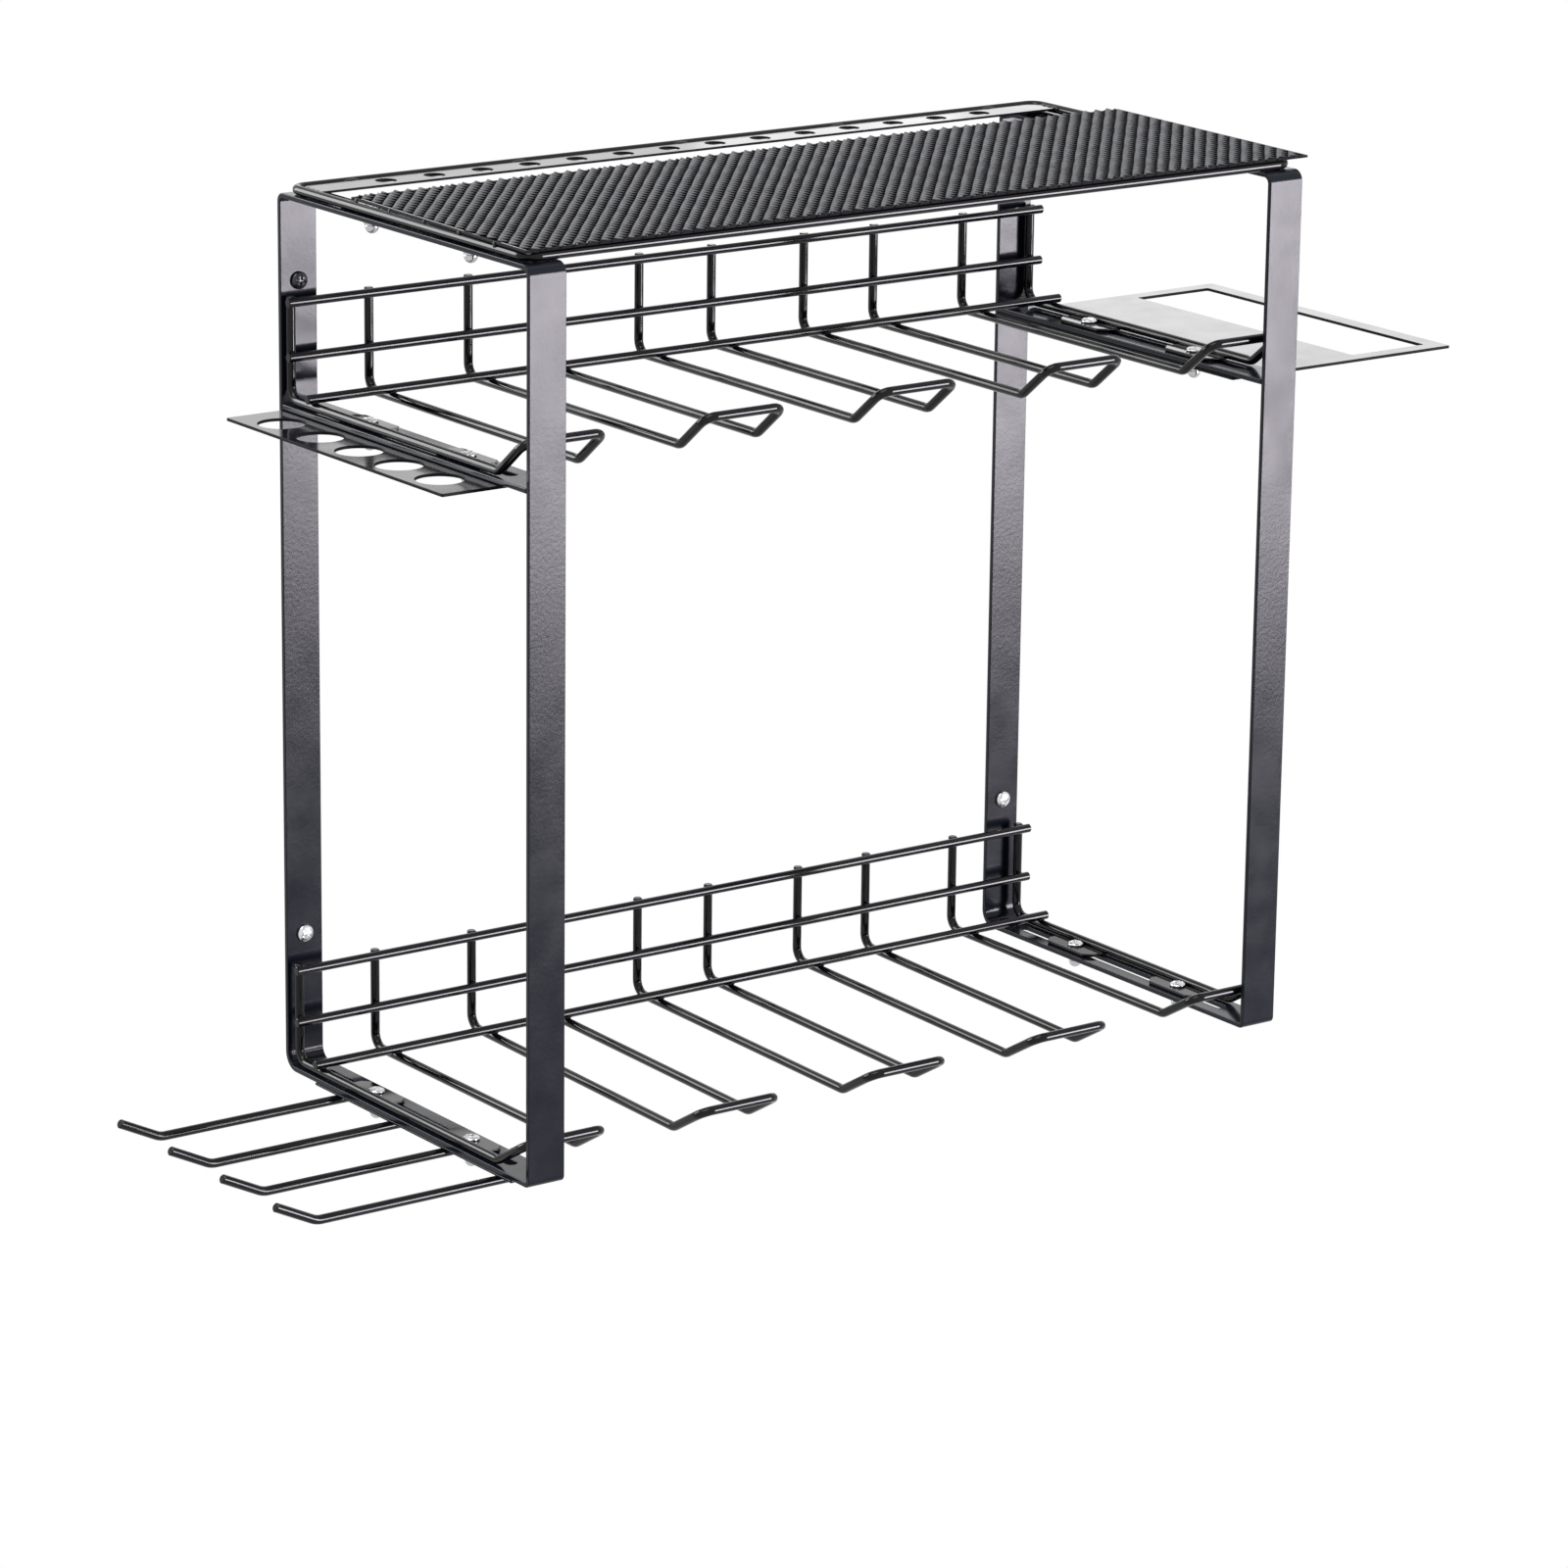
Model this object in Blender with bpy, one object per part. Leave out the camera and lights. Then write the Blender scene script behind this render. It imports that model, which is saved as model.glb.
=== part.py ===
"""Wall rack for hand tools.

Two side frames of bent flat bar hang on the wall. They carry a wire shelf with an expanded
sheet, two wire racks with five prongs each, a plate with round holes, a plate with a
square cut-out and a bar with four hooks. Screws and cap nuts clamp all of these through
the long slots in the frames.

X runs along the wall, Y = 0 is the wall and the rack stands at Y < 0, and Z = 0 is the
underside of the side frames. All lengths are in metres.
"""

import math

import bmesh
import bpy
from mathutils import Matrix, Vector

# Fits between pieces
CLEARANCE = 0.0003
CUT_OVERRUN = 0.002
WELD_DISTANCE = 0.000001

# Side frames, bent from flat bar
RACK_WIDTH = 0.450
FRAME_DEPTH = 0.215
FRAME_HEIGHT = 0.4346
BAR_WIDTH = 0.020
BAR_THICKNESS = 0.0025
BEND_FRONT_TOP = 0.0055
BEND_BACK_TOP = 0.0045
BEND_FRONT_LOW = 0.0032
BEND_BACK_LOW = 0.009
MID_STRIP_DROP = 0.1019
SLOT_WIDTH = 0.0056
SLOT_FROM_WALL = 0.020
SLOT_FROM_FRONT = 0.027
WALL_SCREW_DROP = 0.0431
WALL_SCREW_LOW = 0.068
WALL_HOLE = 0.0048

# Wire racks
WIRE = 0.0045
RAIL_OVERHANG = 0.001
OUTER_LEG_INSET = 0.00325
PRONGS_PER_RACK = 5
PRONG_SPAN = 0.0435
UPPER_BEND_FROM_FRONT = 0.0294
UPPER_TIP_RUN = 0.0205
UPPER_TIP_RISE = 0.0165
UPPER_SAG = 0.0
LOWER_BEND_FROM_FRONT = 0.0305
LOWER_TIP_RUN = 0.0238
LOWER_TIP_RISE = 0.0139
LOWER_SAG = 0.0028
FOOT_BEND = 0.007
FRONT_BEND = 0.0072
TIP_BEND = 0.0058
LOW_RAIL_AHEAD = 0.0205
MID_RAIL_RISE = 0.0212
TOP_RAIL_RISE = 0.0476
UPRIGHT_RISE = 0.0498
UPPER_RACK_SETBACK = 0.0061
LOWER_RACK_SETBACK = 0.0080

# Tabs that clamp the wire parts to the frames
TAB_THICKNESS = 0.0015
TAB_LENGTH = 0.037
TAB_INNER_INSET = 0.017
TAB_CHAMFER = 0.004
TAB_REAR = 0.059
TAB_FROM_FRONT = 0.072
TAB_FUSE_SHARE = 0.4

# Screws and cap nuts
SHANK = 0.004
SCREW_HOLE = 0.0046
TAB_HEAD = 0.0084
TAB_HEAD_HEIGHT = 0.0023
NUT_FLATS = 0.007
NUT_HEX_HEIGHT = 0.0032
NUT_HEIGHT = 0.0075
NUT_BORE_DEPTH = 0.0055
NUT_ENGAGEMENT = 0.0048
WALL_HEAD = 0.0086
WALL_HEAD_HEIGHT = 0.0026
WALL_SHANK_LENGTH = 0.012
WALL_POINT_LENGTH = 0.004
RECESS_LENGTH_SHARE = 0.5
RECESS_WIDTH_SHARE = 0.13
RECESS_DEPTH_SHARE = 0.5
DOME_SHOULDER_SHARE = 0.3
NUT_DOME_SHARE = 0.92

# Shelf
RIM_INSET = 0.0032
RIM_SETBACK = 0.008
RIM_FROM_FRONT = 0.0065
RIM_BEND = 0.007
SHELF_TAB_SETBACK = 0.009
HOLE_STRIP_WIDTH = 0.0185
HOLE_STRIP_THICKNESS = 0.0012
HOLE_STRIP_HOLE = 0.010
HOLE_STRIP_END = 0.045
HOLE_STRIP_HOLES = 14
MESH_LEFT_INSET = 0.003
MESH_RIGHT_OVERHANG = 0.015
MESH_BACK = 0.058
MESH_FROM_FRONT = 0.0045
MESH_STRAND = 0.0021
MESH_COLUMNS = 30
MESH_ROWS = 17

# Plate with round holes, outside the left frame
HOLE_PLATE_REACH = 0.031
HOLE_PLATE_FROM_FRONT = 0.024
HOLE_PLATE_THICKNESS = 0.0015
HOLE_PLATE_HOLE = 0.0228
HOLE_PLATE_FIRST = 0.0278
HOLE_PLATE_LAST = 0.026
HOLE_PLATE_HOLES = 5
HOLE_PLATE_EDGE = 0.0155

# Plate with a square cut-out, outside the right frame
TOOL_PLATE_REACH = 0.122
TOOL_PLATE_FROM_FRONT = 0.024
TOOL_PLATE_THICKNESS = 0.0015
CUTOUT_WIDTH = 0.047
CUTOUT_SIDE_EDGE = 0.010
CUTOUT_END_EDGE = 0.009

# Bar with hooks, outside the left frame at the bottom
HOOK_BASE_BACK = 0.027
HOOK_BASE_FROM_FRONT = 0.015
HOOK_BASE_THICKNESS = 0.0012
HOOK_BEFORE_REAR_SCREW = 0.021
HOOK_PAST_REAR_SCREW = 0.026
HOOK_BEFORE_FRONT_SCREW = 0.011
HOOK_PAST_FRONT_SCREW = 0.036
HOOK_REACH = 0.098
HOOK_TIP_RUN = 0.022
HOOK_TIP_ANGLE = 26.0
HOOK_BEND = 0.012
HOOK_INNER_EDGE = 0.002

# How finely round shapes are drawn
WIRE_RESOLUTION = 2
ARC_STEP = 30.0
SCREW_SIDES = 12
WALL_SCREW_SIDES = 24
HOLE_SIDES = 12
LARGE_HOLE_SIDES = 20

# Places worked out from the sizes above
WIRE_RADIUS = WIRE / 2
FRAME_FACE = RACK_WIDTH / 2
BAR_CENTRE = FRAME_FACE - BAR_WIDTH / 2
FRAME_INNER_FACE = FRAME_FACE - BAR_WIDTH
MID_STRIP_TOP = FRAME_HEIGHT - MID_STRIP_DROP
SLOT_LENGTH = FRAME_DEPTH - SLOT_FROM_WALL - SLOT_FROM_FRONT
WALL_SCREW_HIGH = FRAME_HEIGHT - WALL_SCREW_DROP
RAIL_LENGTH = RACK_WIDTH + 2 * RAIL_OVERHANG
PRONG_PITCH = (RACK_WIDTH - 2 * OUTER_LEG_INSET - PRONG_SPAN) / (PRONGS_PER_RACK - 1)
TAB_INNER_REACH = FRAME_FACE - TAB_INNER_INSET
TAB_FRONT = FRAME_DEPTH - TAB_FROM_FRONT
RIM_SPAN = RACK_WIDTH - 2 * RIM_INSET
RIM_DEPTH = FRAME_DEPTH - RIM_SETBACK - RIM_FROM_FRONT
HOLE_STRIP_PITCH = (RIM_SPAN - 2 * HOLE_STRIP_END) / (HOLE_STRIP_HOLES - 1)
MESH_LEFT = FRAME_FACE - MESH_LEFT_INSET
MESH_RIGHT = FRAME_FACE + MESH_RIGHT_OVERHANG
MESH_FRONT = FRAME_DEPTH - MESH_FROM_FRONT
HOLE_PLATE_FRONT = FRAME_DEPTH - HOLE_PLATE_FROM_FRONT
HOLE_PLATE_PITCH = (HOLE_PLATE_FRONT - HOLE_PLATE_FIRST - HOLE_PLATE_LAST) / (HOLE_PLATE_HOLES - 1)
TOOL_PLATE_FRONT = FRAME_DEPTH - TOOL_PLATE_FROM_FRONT
HOOK_BASE_FRONT = FRAME_DEPTH - HOOK_BASE_FROM_FRONT
LOW_REAR_SCREW = LOWER_RACK_SETBACK + TAB_REAR
LOW_FRONT_SCREW = LOWER_RACK_SETBACK + TAB_FRONT
HOOK_PLACES = [
    LOW_REAR_SCREW - HOOK_BEFORE_REAR_SCREW, LOW_REAR_SCREW + HOOK_PAST_REAR_SCREW,
    LOW_FRONT_SCREW - HOOK_BEFORE_FRONT_SCREW, LOW_FRONT_SCREW + HOOK_PAST_FRONT_SCREW,
]
STRIP_TOPS = {"lower": BAR_THICKNESS, "upper": MID_STRIP_TOP, "shelf": FRAME_HEIGHT}
SEAT_TO_WIRE = CLEARANCE + WIRE_RADIUS
RIM_LEVEL = FRAME_HEIGHT + SEAT_TO_WIRE
RACK_SETBACKS = {"lower": LOWER_RACK_SETBACK, "upper": UPPER_RACK_SETBACK}
BENDS_FROM_FRONT = {"lower": LOWER_BEND_FROM_FRONT, "upper": UPPER_BEND_FROM_FRONT}
TIP_RUNS = {"lower": LOWER_TIP_RUN, "upper": UPPER_TIP_RUN}
TIP_RISES = {"lower": LOWER_TIP_RISE, "upper": UPPER_TIP_RISE}
SAGS = {"lower": LOWER_SAG, "upper": UPPER_SAG}
WALL_SCREW_HEIGHTS = {"low": WALL_SCREW_LOW, "high": WALL_SCREW_HIGH}
POST_CLEAR = BAR_THICKNESS + CLEARANCE
TAB_SETBACKS = {**RACK_SETBACKS, "shelf": SHELF_TAB_SETBACK}
TAB_PLACES = {"rear": TAB_REAR, "front": TAB_FRONT}
SIDES = {"left": -1, "right": 1}


def clear_scene():
    for obj in list(bpy.data.objects):
        bpy.data.objects.remove(obj, do_unlink=True)


def finish(name, colour, metallic, roughness, coat=0.0):
    """One painted or plated surface."""
    material = bpy.data.materials.new(name)
    material.use_nodes = True
    shader = material.node_tree.nodes["Principled BSDF"]
    shader.inputs["Base Color"].default_value = (*colour, 1.0)
    shader.inputs["Metallic"].default_value = metallic
    shader.inputs["Roughness"].default_value = roughness
    shader.inputs["Coat Weight"].default_value = coat
    material.diffuse_color = (*colour, 1.0)
    return material


def add_object(name, data, material, matrix=None):
    """Put a mesh or a curve into the scene as a named piece."""
    obj = bpy.data.objects.new(name, data)
    bpy.context.scene.collection.objects.link(obj)
    if matrix is not None:
        obj.matrix_world = matrix
    if material is not None:
        data.materials.clear()
        data.materials.append(material)
    return obj


def hide_helper(obj):
    """Mark a cutter or a joined shape, which isn't a piece of its own."""
    obj.hide_render = True
    obj.display_type = "WIRE"


def apply_boolean(obj, helper, operation):
    modifier = obj.modifiers.new(f"{operation.lower()} {helper.name}", "BOOLEAN")
    modifier.operation = operation
    modifier.object = helper
    modifier.solver = "EXACT"
    hide_helper(helper)


def cut(obj, helper):
    apply_boolean(obj, helper, "DIFFERENCE")


def fuse(obj, helper):
    apply_boolean(obj, helper, "UNION")


def settled_mesh(obj):
    """The object's mesh with its curve and modifiers worked out."""
    graph = bpy.context.evaluated_depsgraph_get()
    graph.update()
    return bpy.data.meshes.new_from_object(obj.evaluated_get(graph))


def shade_round(mesh):
    mesh.shade_smooth()
    mesh.set_sharp_from_angle(angle=math.radians(ARC_STEP + 1))


def circle(centre, diameter, sides):
    """Points round a circle in a plane."""
    radius = diameter / 2
    turn = 2 * math.pi / sides
    return [
        (centre[0] + radius * math.cos(turn * i), centre[1] + radius * math.sin(turn * i))
        for i in range(sides)
    ]


def long_slot(centre, width, length, sides):
    """A slot with round ends that runs along the plane's second axis."""
    radius = width / 2
    straight = length / 2 - radius
    half = sides // 2
    points = []
    for end in (1, -1):
        for i in range(half + 1):
            angle = math.pi * i / half + (0 if end > 0 else math.pi)
            x = centre[0] + radius * math.cos(angle)
            y = centre[1] + end * straight + radius * math.sin(angle)
            points.append((x, y))
    return points


def rectangle(low, high):
    return [(low[0], low[1]), (high[0], low[1]), (high[0], high[1]), (low[0], high[1])]


def rounded_corners(corners, radii, closed=False):
    """A path through the corners, each turned with an arc of its own radius."""
    count = len(corners)
    points = []
    for i, corner in enumerate(corners):
        here = Vector(corner)
        if radii[i] <= 0 or (not closed and i in (0, count - 1)):
            points.append(here)
            continue
        back = (Vector(corners[i - 1]) - here).normalized()
        ahead = (Vector(corners[(i + 1) % count]) - here).normalized()
        turn = math.pi - back.angle(ahead)
        centre = here + (back + ahead).normalized() * (radii[i] / math.cos(turn / 2))
        start = here + back * (radii[i] * math.tan(turn / 2)) - centre
        axis = back.cross(ahead).normalized()
        steps = max(2, round(math.degrees(turn) / ARC_STEP))
        for k in range(steps + 1):
            points.append(centre + Matrix.Rotation(-turn * k / steps, 3, axis) @ start)
    return points


def slab(outline, holes, thickness):
    """A flat plate: the outline and its holes, filled and extruded upwards."""
    mesh = bpy.data.meshes.new("slab")
    work = bmesh.new()
    edges = []
    for loop in [outline, *holes]:
        verts = [work.verts.new((x, y, 0)) for x, y in loop]
        edges += [work.edges.new((verts[i - 1], verts[i])) for i in range(len(verts))]
    bmesh.ops.triangle_fill(work, edges=edges, use_beauty=True, normal=(0, 0, 1))
    raised = bmesh.ops.extrude_face_region(work, geom=work.faces[:])["geom"]
    risen = [item for item in raised if isinstance(item, bmesh.types.BMVert)]
    bmesh.ops.translate(work, verts=risen, vec=(0, 0, thickness))
    bmesh.ops.recalc_face_normals(work, faces=work.faces[:])
    work.to_mesh(mesh)
    work.free()
    return mesh


def turned(profile, sides):
    """A round solid from a profile of radius and height, from axis to axis."""
    mesh = bpy.data.meshes.new("turned")
    work = bmesh.new()
    verts = [work.verts.new((radius, 0, height)) for radius, height in profile]
    edges = [work.edges.new(pair) for pair in zip(verts, verts[1:])]
    bmesh.ops.spin(
        work, geom=verts + edges, cent=(0, 0, 0), axis=(0, 0, 1),
        angle=2 * math.pi, steps=sides, use_merge=True,
    )
    bmesh.ops.remove_doubles(work, verts=work.verts[:], dist=WELD_DISTANCE)
    bmesh.ops.recalc_face_normals(work, faces=work.faces[:])
    work.to_mesh(mesh)
    work.free()
    shade_round(mesh)
    return mesh


def wire(name, points, material, closed=False):
    """Round wire along a path, with flat cut ends unless it closes on itself."""
    curve = bpy.data.curves.new(name, "CURVE")
    curve.dimensions = "3D"
    curve.bevel_depth = WIRE_RADIUS
    curve.bevel_resolution = WIRE_RESOLUTION
    curve.use_fill_caps = True
    spline = curve.splines.new("POLY")
    spline.points.add(len(points) - 1)
    for point, place in zip(spline.points, points):
        point.co = (*place, 1)
    spline.use_cyclic_u = closed
    spline.use_smooth = True
    return add_object(name, curve, material)


def level_plane(height):
    """A plate laid level at a height, its outline in X and Y."""
    return Matrix.Translation((0, 0, height))


def side_plane(x):
    """A plate that stands across the wall at X, its outline in Y and Z."""
    axes = Matrix(((0, 0, 1, 0), (1, 0, 0, 0), (0, 1, 0, 0), (0, 0, 0, 1)))
    return Matrix.Translation((x, 0, 0)) @ axes


def side_frame(side, material):
    """A closed loop of flat bar with slots along the top and bottom."""
    corners = [(0, 0), (-FRAME_DEPTH, 0), (-FRAME_DEPTH, FRAME_HEIGHT), (0, FRAME_HEIGHT)]
    bends = [BEND_BACK_LOW, BEND_FRONT_LOW, BEND_FRONT_TOP, BEND_BACK_TOP]
    wall = BAR_THICKNESS
    inner = [
        (-wall, wall), (wall - FRAME_DEPTH, wall),
        (wall - FRAME_DEPTH, FRAME_HEIGHT - wall), (-wall, FRAME_HEIGHT - wall),
    ]
    inner_bends = [bend - wall for bend in bends]
    outside = [(y, z) for y, z, _ in rounded_corners([(*c, 0) for c in corners], bends, True)]
    inside = [(y, z) for y, z, _ in rounded_corners([(*c, 0) for c in inner], inner_bends, True)]
    start = SIDES[side] * BAR_CENTRE - BAR_WIDTH / 2
    mesh = slab(outside, [inside], BAR_WIDTH)
    shade_round(mesh)
    frame = add_object(f"{side}_side_frame", mesh, material, side_plane(start))
    for level, top in (("low", wall), ("high", FRAME_HEIGHT)):
        cut(frame, slot_cutter(f"{side}_{level}_slot_cutter", side, top))
    for level, height in WALL_SCREW_HEIGHTS.items():
        depth = BAR_THICKNESS + 2 * CUT_OVERRUN
        plug = slab(circle((0, 0), WALL_HOLE, HOLE_SIDES), [], depth)
        place = Matrix.Translation((SIDES[side] * BAR_CENTRE, CUT_OVERRUN, height))
        plug_matrix = place @ Matrix.Rotation(math.pi / 2, 4, "X")
        cut(frame, add_object(f"{side}_{level}_wall_hole_cutter", plug, None, plug_matrix))
    return frame


def slot_outline(side):
    middle = -(SLOT_FROM_WALL + SLOT_LENGTH / 2)
    return long_slot((SIDES[side] * BAR_CENTRE, middle), SLOT_WIDTH, SLOT_LENGTH, HOLE_SIDES)


def slot_cutter(name, side, strip_top):
    depth = BAR_THICKNESS + 2 * CUT_OVERRUN
    bottom = strip_top - BAR_THICKNESS - CUT_OVERRUN
    return add_object(name, slab(slot_outline(side), [], depth), None, level_plane(bottom))


def mid_strip(side, material):
    """The slotted strip welded across a side frame."""
    back = -POST_CLEAR
    front = POST_CLEAR - FRAME_DEPTH
    centre = SIDES[side] * BAR_CENTRE
    outline = rectangle((centre - BAR_WIDTH / 2, front), (centre + BAR_WIDTH / 2, back))
    mesh = slab(outline, [slot_outline(side)], BAR_THICKNESS)
    bottom = MID_STRIP_TOP - BAR_THICKNESS
    return add_object(f"{side}_mid_strip", mesh, material, level_plane(bottom))


def tab_slab(name, side, wire_x, y, strip_top):
    """A clamping tab: it starts inside the wire and reaches over the slot."""
    sign = SIDES[side]
    outer = sign * (wire_x - TAB_FUSE_SHARE * WIRE_RADIUS)
    inner = sign * TAB_INNER_REACH
    shoulder = inner + sign * TAB_CHAMFER
    half = TAB_LENGTH / 2
    outline = [
        (outer, y - half), (shoulder, y - half), (inner, y - half + TAB_CHAMFER),
        (inner, y + half - TAB_CHAMFER), (shoulder, y + half), (outer, y + half),
    ]
    hole = circle((sign * BAR_CENTRE, y), SCREW_HOLE, HOLE_SIDES)
    mesh = slab(outline, [hole], TAB_THICKNESS)
    return add_object(name, mesh, None, level_plane(strip_top + CLEARANCE))


def fuse_tabs(piece, level, side, wire_x):
    for place, ahead in TAB_PLACES.items():
        y = -(TAB_SETBACKS[level] + ahead)
        name = f"{level}_{side}_{place}_tab"
        fuse(piece, tab_slab(name, side, wire_x, y, STRIP_TOPS[level]))


def as_mesh_piece(obj):
    """Turn a wire into a mesh piece of the same name, so that shapes can be fused to it."""
    name = obj.name
    mesh = settled_mesh(obj)
    material = obj.data.materials[0]
    bpy.data.objects.remove(obj, do_unlink=True)
    work = bmesh.new()
    work.from_mesh(mesh)
    bmesh.ops.remove_doubles(work, verts=work.verts[:], dist=WELD_DISTANCE)
    work.to_mesh(mesh)
    work.free()
    return add_object(name, mesh, material)


def prong(name, centre_x, level, sag, material):
    """One hairpin of wire: two uprights, two legs and the raised bar across the tip."""
    plane = -RACK_SETBACKS[level]
    leg = STRIP_TOPS[level] + SEAT_TO_WIRE
    bend = BENDS_FROM_FRONT[level] - FRAME_DEPTH
    half = PRONG_SPAN / 2
    near = [
        (centre_x - half, plane, leg + UPRIGHT_RISE),
        (centre_x - half, plane, leg),
        (centre_x - half, bend, leg - sag),
        (centre_x - half, bend - TIP_RUNS[level], leg - sag + TIP_RISES[level]),
    ]
    far = [(2 * centre_x - x, y, z) for x, y, z in reversed(near)]
    radii = [0, FOOT_BEND, FRONT_BEND, TIP_BEND]
    path = rounded_corners(near + far, radii + radii[::-1])
    return wire(name, path, material)


def rack(level, material):
    """Three rails with the prongs behind and below them; only the end prongs are held level."""
    plane = -RACK_SETBACKS[level]
    leg = STRIP_TOPS[level] + SEAT_TO_WIRE
    ahead = plane - WIRE - CLEARANCE
    rails = {
        "top_rail": (ahead, leg + TOP_RAIL_RISE),
        "middle_rail": (ahead, leg + MID_RAIL_RISE),
        "low_rail": (plane - LOW_RAIL_AHEAD, leg + WIRE + CLEARANCE),
    }
    for name, (y, z) in rails.items():
        ends = [(-RAIL_LENGTH / 2, y, z), (RAIL_LENGTH / 2, y, z)]
        wire(f"{level}_{name}", ends, material)
    for i in range(PRONGS_PER_RACK):
        place = i - (PRONGS_PER_RACK - 1) / 2
        at_end = abs(place) * 2 == PRONGS_PER_RACK - 1
        sag = 0 if at_end else SAGS[level]
        piece = prong(f"{level}_prong_{i + 1}", place * PRONG_PITCH, level, sag, material)
        if at_end:
            side = "left" if place < 0 else "right"
            outer_leg = abs(place) * PRONG_PITCH + PRONG_SPAN / 2
            fuse_tabs(as_mesh_piece(piece), level, side, outer_leg)


def shelf_rim(material):
    """The wire loop round the shelf, with a pair of tabs at each end."""
    half = RIM_SPAN / 2
    back = -RIM_SETBACK
    front = back - RIM_DEPTH
    corners = [
        (-half, back, RIM_LEVEL), (half, back, RIM_LEVEL),
        (half, front, RIM_LEVEL), (-half, front, RIM_LEVEL),
    ]
    path = rounded_corners(corners, [RIM_BEND] * 4, True)
    rim = as_mesh_piece(wire("shelf_rim", path, material, closed=True))
    for side in SIDES:
        fuse_tabs(rim, "shelf", side, half)


def hole_strip(material):
    """The strip with small holes just inside the back of the rim."""
    half = RIM_SPAN / 2 - SEAT_TO_WIRE
    back = -(RIM_SETBACK + SEAT_TO_WIRE)
    middle = back - HOLE_STRIP_WIDTH / 2
    corner = RIM_BEND - WIRE_RADIUS
    outline = [
        (-half, back - HOLE_STRIP_WIDTH), (half, back - HOLE_STRIP_WIDTH),
        (half, back - corner), (half - corner, back),
        (corner - half, back), (-half, back - corner),
    ]
    first = -HOLE_STRIP_PITCH * (HOLE_STRIP_HOLES - 1) / 2
    holes = [
        circle((first + HOLE_STRIP_PITCH * i, middle), HOLE_STRIP_HOLE, HOLE_SIDES)
        for i in range(HOLE_STRIP_HOLES)
    ]
    mesh = slab(outline, holes, HOLE_STRIP_THICKNESS)
    add_object("shelf_hole_strip", mesh, material, level_plane(RIM_LEVEL))


def shelf_mesh(material):
    """The expanded sheet: whole diamonds in staggered rows, each edge made a strand."""
    step_x = (MESH_LEFT + MESH_RIGHT - MESH_STRAND) / MESH_COLUMNS
    step_y = (MESH_FRONT - MESH_BACK - MESH_STRAND) / MESH_ROWS
    left = MESH_STRAND / 2 - MESH_LEFT
    front = MESH_STRAND / 2 - MESH_FRONT
    work = bmesh.new()
    corners = {}
    for column in range(MESH_COLUMNS + 1):
        for row in range(MESH_ROWS + 1):
            if (column + row) % 2 == 1:
                place = (left + column * step_x, front + row * step_y, 0)
                corners[column, row] = work.verts.new(place)
    for column in range(1, MESH_COLUMNS):
        for row in range(1, MESH_ROWS):
            if (column + row) % 2 == 0:
                around = ((column - 1, row), (column, row - 1), (column + 1, row), (column, row + 1))
                work.faces.new([corners[key] for key in around])
    loose = [vert for vert in work.verts if not vert.link_faces]
    bmesh.ops.delete(work, geom=loose, context="VERTS")
    mesh = bpy.data.meshes.new("shelf_mesh")
    work.to_mesh(mesh)
    work.free()
    height = RIM_LEVEL + WIRE_RADIUS + CLEARANCE + MESH_STRAND / 2
    sheet = add_object("shelf_mesh", mesh, material, level_plane(height))
    strands = sheet.modifiers.new("strands", "WIREFRAME")
    strands.thickness = MESH_STRAND
    strands.use_boundary = True
    strands.use_even_offset = False
    strands.use_relative_offset = False


def screw_holes(side, level):
    """Holes for the clamping screws, in a plate under a strip."""
    x = SIDES[side] * BAR_CENTRE
    return [
        circle((x, -(TAB_SETBACKS[level] + ahead)), SCREW_HOLE, HOLE_SIDES)
        for ahead in TAB_PLACES.values()
    ]


def under_strip(level, thickness):
    """The height of the lower face of a plate that hangs under a strip."""
    return STRIP_TOPS[level] - BAR_THICKNESS - CLEARANCE - thickness


def hole_plate(material):
    """The plate with round holes for drivers and bits."""
    outer = -(FRAME_FACE + HOLE_PLATE_REACH)
    outline = rectangle((outer, -HOLE_PLATE_FRONT), (-FRAME_INNER_FACE, -POST_CLEAR))
    centre_x = outer + HOLE_PLATE_EDGE
    holes = [
        circle((centre_x, -HOLE_PLATE_FIRST - HOLE_PLATE_PITCH * i), HOLE_PLATE_HOLE, LARGE_HOLE_SIDES)
        for i in range(HOLE_PLATE_HOLES)
    ]
    mesh = slab(outline, holes + screw_holes("left", "upper"), HOLE_PLATE_THICKNESS)
    height = under_strip("upper", HOLE_PLATE_THICKNESS)
    add_object("hole_plate", mesh, material, level_plane(height))


def tool_plate(material):
    """The wide plate with a square cut-out."""
    outer = FRAME_FACE + TOOL_PLATE_REACH
    outline = rectangle((FRAME_INNER_FACE, -TOOL_PLATE_FRONT), (outer, -POST_CLEAR))
    opening = rectangle(
        (outer - CUTOUT_SIDE_EDGE - CUTOUT_WIDTH, CUTOUT_END_EDGE - TOOL_PLATE_FRONT),
        (outer - CUTOUT_SIDE_EDGE, -POST_CLEAR - CUTOUT_END_EDGE),
    )
    mesh = slab(outline, [opening] + screw_holes("right", "upper"), TOOL_PLATE_THICKNESS)
    height = under_strip("upper", TOOL_PLATE_THICKNESS)
    add_object("tool_plate", mesh, material, level_plane(height))


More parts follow.
